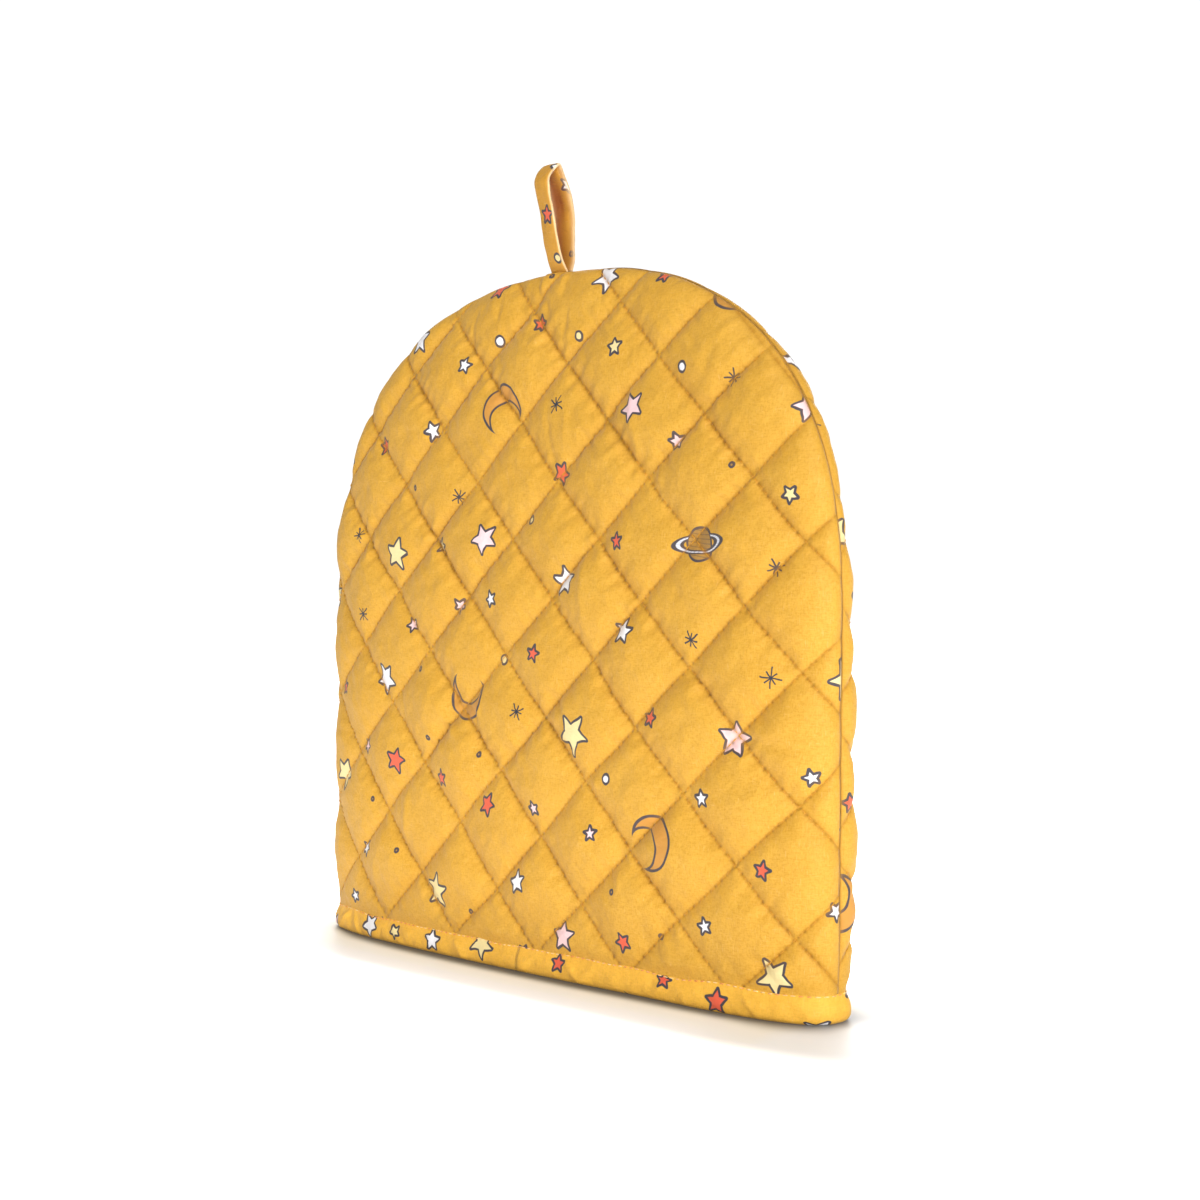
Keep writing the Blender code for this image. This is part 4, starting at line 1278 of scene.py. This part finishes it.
# %% Put the finishes on
for piece, finish in (
    (front_cloth, cotton("front_quilted_cotton", quilted=True)),
    (back_cloth, cotton("back_quilted_cotton", quilted=True)),
    # Painted light: the binding is the same cotton as the panels but given a lighter colour, making
    # up for light that the dark floor under the hem does not throw up.
    (binding, cotton("binding_cotton", ink(250, 190, 66))),
    (loop, cotton("loop_cotton", ink(210, 150, 44), folded_strip=True)),
    (front_thread, thread("front_thread", ink(208, 148, 34))),
    (back_thread, thread("back_thread", ink(208, 148, 34))),
    (topstitching, thread("topstitch_thread", ink(252, 216, 146), ink(226, 132, 52), 0.85)),
):
    piece.data.materials.append(finish)
    print(finish.name, "nodes:", len(finish.node_tree.nodes))

# %% [markdown]
# ## What each piece stands for
#
# The imported model keeps its plain solids for weight and contact. Each new piece rides on the
# one body there is and hides the solid that it stands for.

# %% Ride and replace
for piece, node, slot in (
    (front_cloth, "front_panel", "quilted_cotton"),
    (back_cloth, "back_panel", "quilted_cotton"),
    (binding, "hem_binding", "binding_cotton"),
    (loop, "hanging_loop", "loop_cotton"),
    (front_thread, "front_panel", "quilted_cotton"),
    (back_thread, "back_panel", "quilted_cotton"),
    (topstitching, "hem_binding", "binding_cotton"),
):
    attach(piece, "root")
    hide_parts(node)

# %% [markdown]
# ## Floor, light and camera
#
# The cosy stands on a white floor in front of white. Under the hem a shadow is painted into the
# floor's colour and glow: it is dark, with a short cream fade of painted bounce light that
# follows the slumped foot and is longer and greyer at the right-hand end. Further out the floor
# glows, most from about 40 to 120 mm, and throws light back up on the lower cloth. Four soft
# lamps stand round: a broad one to the right of the front panel that models the quilting, a weak
# one in front, one above and one behind.

# %% Floor
FLOOR = 5.0                  # metres from the middle to each side
SHADE_HALF_WIDTH = 0.1435    # the outline under the hem, around which a shadow is painted on the floor
SHADE_HALF_DEPTH = 0.0257
BACKDROP = 1.35 * FLOOR      # radius of the white ball around everything
WHITE = (1.0, 1.0, 1.0)


def floor_finish():
    """The floor's distance from the outline |x/W|^n + |y/D|^n = 1 is about
    q (1 - q^(-1/n)) / slope, where q is the left side. Steps of it paint a shadow near the hem
    in a dark base colour, a low glow and a cream tint of painted bounce light, and give a ring
    of stronger glow further out."""
    f = Finish("pale_floor")
    x, y, _ = f.parts(f.add("TexCoord", output=3))
    foot = f.step(x, 0.060, 0.145)
    x, y = x - foot * (FOOT_OUT * MM), y + foot * (FOOT_FORWARD * MM)
    # The painted shade is shorter at the left-hand end, and longer and greyer at the right-hand
    # end.
    short = f.step(x, -0.147, -0.110, 2.2, 1.0)
    long = f.step(x, 0.100, 0.140, 1.0, 0.62)
    greyer_painted_shade = f.step(x, 0.125, 0.150, 0.0, 0.8)
    x, y = f.maths("ABSOLUTE", x), f.maths("ABSOLUTE", y)
    share_x = (x / SHADE_HALF_WIDTH) ** SECTION_POWER
    share_y = (y / SHADE_HALF_DEPTH) ** SECTION_POWER
    total = share_x + share_y
    slope = f.length(share_x / f.maths("MAXIMUM", x, 1e-4), share_y / f.maths("MAXIMUM", y, 1e-4))
    away = total * (1.0 - total ** (-1 / SECTION_POWER)) / slope * short
    near = away * long
    # Painted shadow in the glow: weak at the hem and rising outwards, then a ring of stronger glow
    # that lights the lower cloth.
    painted_shadow_and_glow = f.step(near, 0.0005, 0.0075, 0.08, 0.44) + f.step(near, 0.006, 0.040, 0.0, 0.15)
    painted_shadow_and_glow = painted_shadow_and_glow + f.step(away, 0.025, 0.050, 0.0, 1.25) + f.step(away, 0.100, 0.220, 0.0, -0.90)
    # Painted shadow: the floor's base colour is dark under and just beyond the hem.
    ground = f.blend(f.step(near, -0.001, 0.010), (0.10, 0.085, 0.07), (0.5, 0.5, 0.5))
    # Painted bounce light: the glow is cream near the hem, and neutral at the right-hand end.
    painted_bounce_tint = f.blend(f.maths("MAXIMUM", f.step(near, -0.006, 0.032), greyer_painted_shade), (1.0, 0.86, 0.60), WHITE)
    return f.put(Base_Color=ground, Roughness=0.5, Specular_IOR_Level=0.3,
                 Emission_Color=painted_bounce_tint, Emission_Strength=painted_shadow_and_glow)


floor_mesh = bpy.data.meshes.new("floor")
floor_corners = [(-FLOOR, -FLOOR, 0), (FLOOR, -FLOOR, 0), (FLOOR, FLOOR, 0), (-FLOOR, FLOOR, 0)]
floor_mesh.from_pydata(floor_corners, [], [(0, 1, 2, 3)])
floor_mesh.materials.append(floor_finish())
floor = bpy.data.objects.new("floor", floor_mesh)
print("floor, m:", 2 * FLOOR)

# %% Backdrop: a glowing white ball around everything, that lights nothing
turns, climbs = np.meshgrid(np.linspace(0, 2 * np.pi, 49), np.linspace(-np.pi / 2, np.pi / 2, 25))
ball = BACKDROP * np.stack([np.cos(turns) * np.cos(climbs), np.sin(turns) * np.cos(climbs),
                            np.sin(climbs)], -1)
backdrop = make_piece("backdrop", ball.reshape(-1, 3),
                      grid_faces(np.arange(turns.size).reshape(turns.shape)))
backdrop.visible_diffuse = backdrop.visible_glossy = backdrop.visible_shadow = False
backdrop.data.materials.append(Finish("white_backdrop").put(
    Base_Color=(0.0, 0.0, 0.0), Emission_Color=WHITE, Emission_Strength=1.0))
bpy.context.scene.collection.objects.link(floor)

# %% Light
scene = bpy.context.scene
scene.view_settings.view_transform = "Standard"
world = bpy.data.worlds.new("even_white")
world.use_nodes = True
background = world.node_tree.nodes["Background"]
background.inputs["Color"].default_value = (*WHITE, 1.0)
background.inputs["Strength"].default_value = 0.08
scene.world = world


def soft_lamp(name, azimuth, elevation, spread, strength):
    """A far lamp as wide as spread degrees of sky, seen from the cosy at azimuth (0 is in
    front, 90 to its right) and elevation."""
    a, e = np.radians(azimuth), np.radians(elevation)
    way = Vector((np.sin(a) * np.cos(e), -np.cos(a) * np.cos(e), np.sin(e)))
    lamp = bpy.data.objects.new(name, bpy.data.lights.new(name, "SUN"))
    lamp.data.energy = strength
    lamp.data.angle = np.radians(spread)
    lamp.rotation_mode = "QUATERNION"
    lamp.rotation_quaternion = way.to_track_quat("Z", "Y")
    scene.collection.objects.link(lamp)
    print("lamp:", name, strength)


soft_lamp("key", 62, 19, 36, 2.75)
soft_lamp("fill", -18, 8, 40, 0.16)
soft_lamp("top", 40, 72, 60, 0.68)
soft_lamp("behind", 215, 20, 40, 2.0)

# %% Camera
CAMERA_AZIMUTH = np.radians(45.24)
CAMERA_PITCH = np.radians(0.64)
CAMERA_DISTANCE = 0.8156
CAMERA_HEIGHT = 0.1625
CAMERA_RIGHT = 0.0159
SENSOR_WIDTH = 36.0          # mm
FOCAL_SHARE = 1943.5 / 1200  # focal length as a share of the frame's width

back_way = Vector((np.sin(CAMERA_AZIMUTH), -np.cos(CAMERA_AZIMUTH), 0))
right_way = Vector((np.cos(CAMERA_AZIMUTH), np.sin(CAMERA_AZIMUTH), 0))
up_way = Vector((0, 0, 1))
look = -back_way * np.cos(CAMERA_PITCH) - up_way * np.sin(CAMERA_PITCH)
camera = bpy.data.objects.new("camera", bpy.data.cameras.new("camera"))
camera.data.sensor_width = SENSOR_WIDTH
camera.data.lens = SENSOR_WIDTH * FOCAL_SHARE
camera.location = (back_way * CAMERA_DISTANCE + right_way * CAMERA_RIGHT
                   + up_way * CAMERA_HEIGHT)
camera.rotation_mode = "QUATERNION"
camera.rotation_quaternion = look.to_track_quat("-Z", "Y")
scene.collection.objects.link(camera)
scene.camera = camera
print("lens, mm:", round(camera.data.lens, 2))
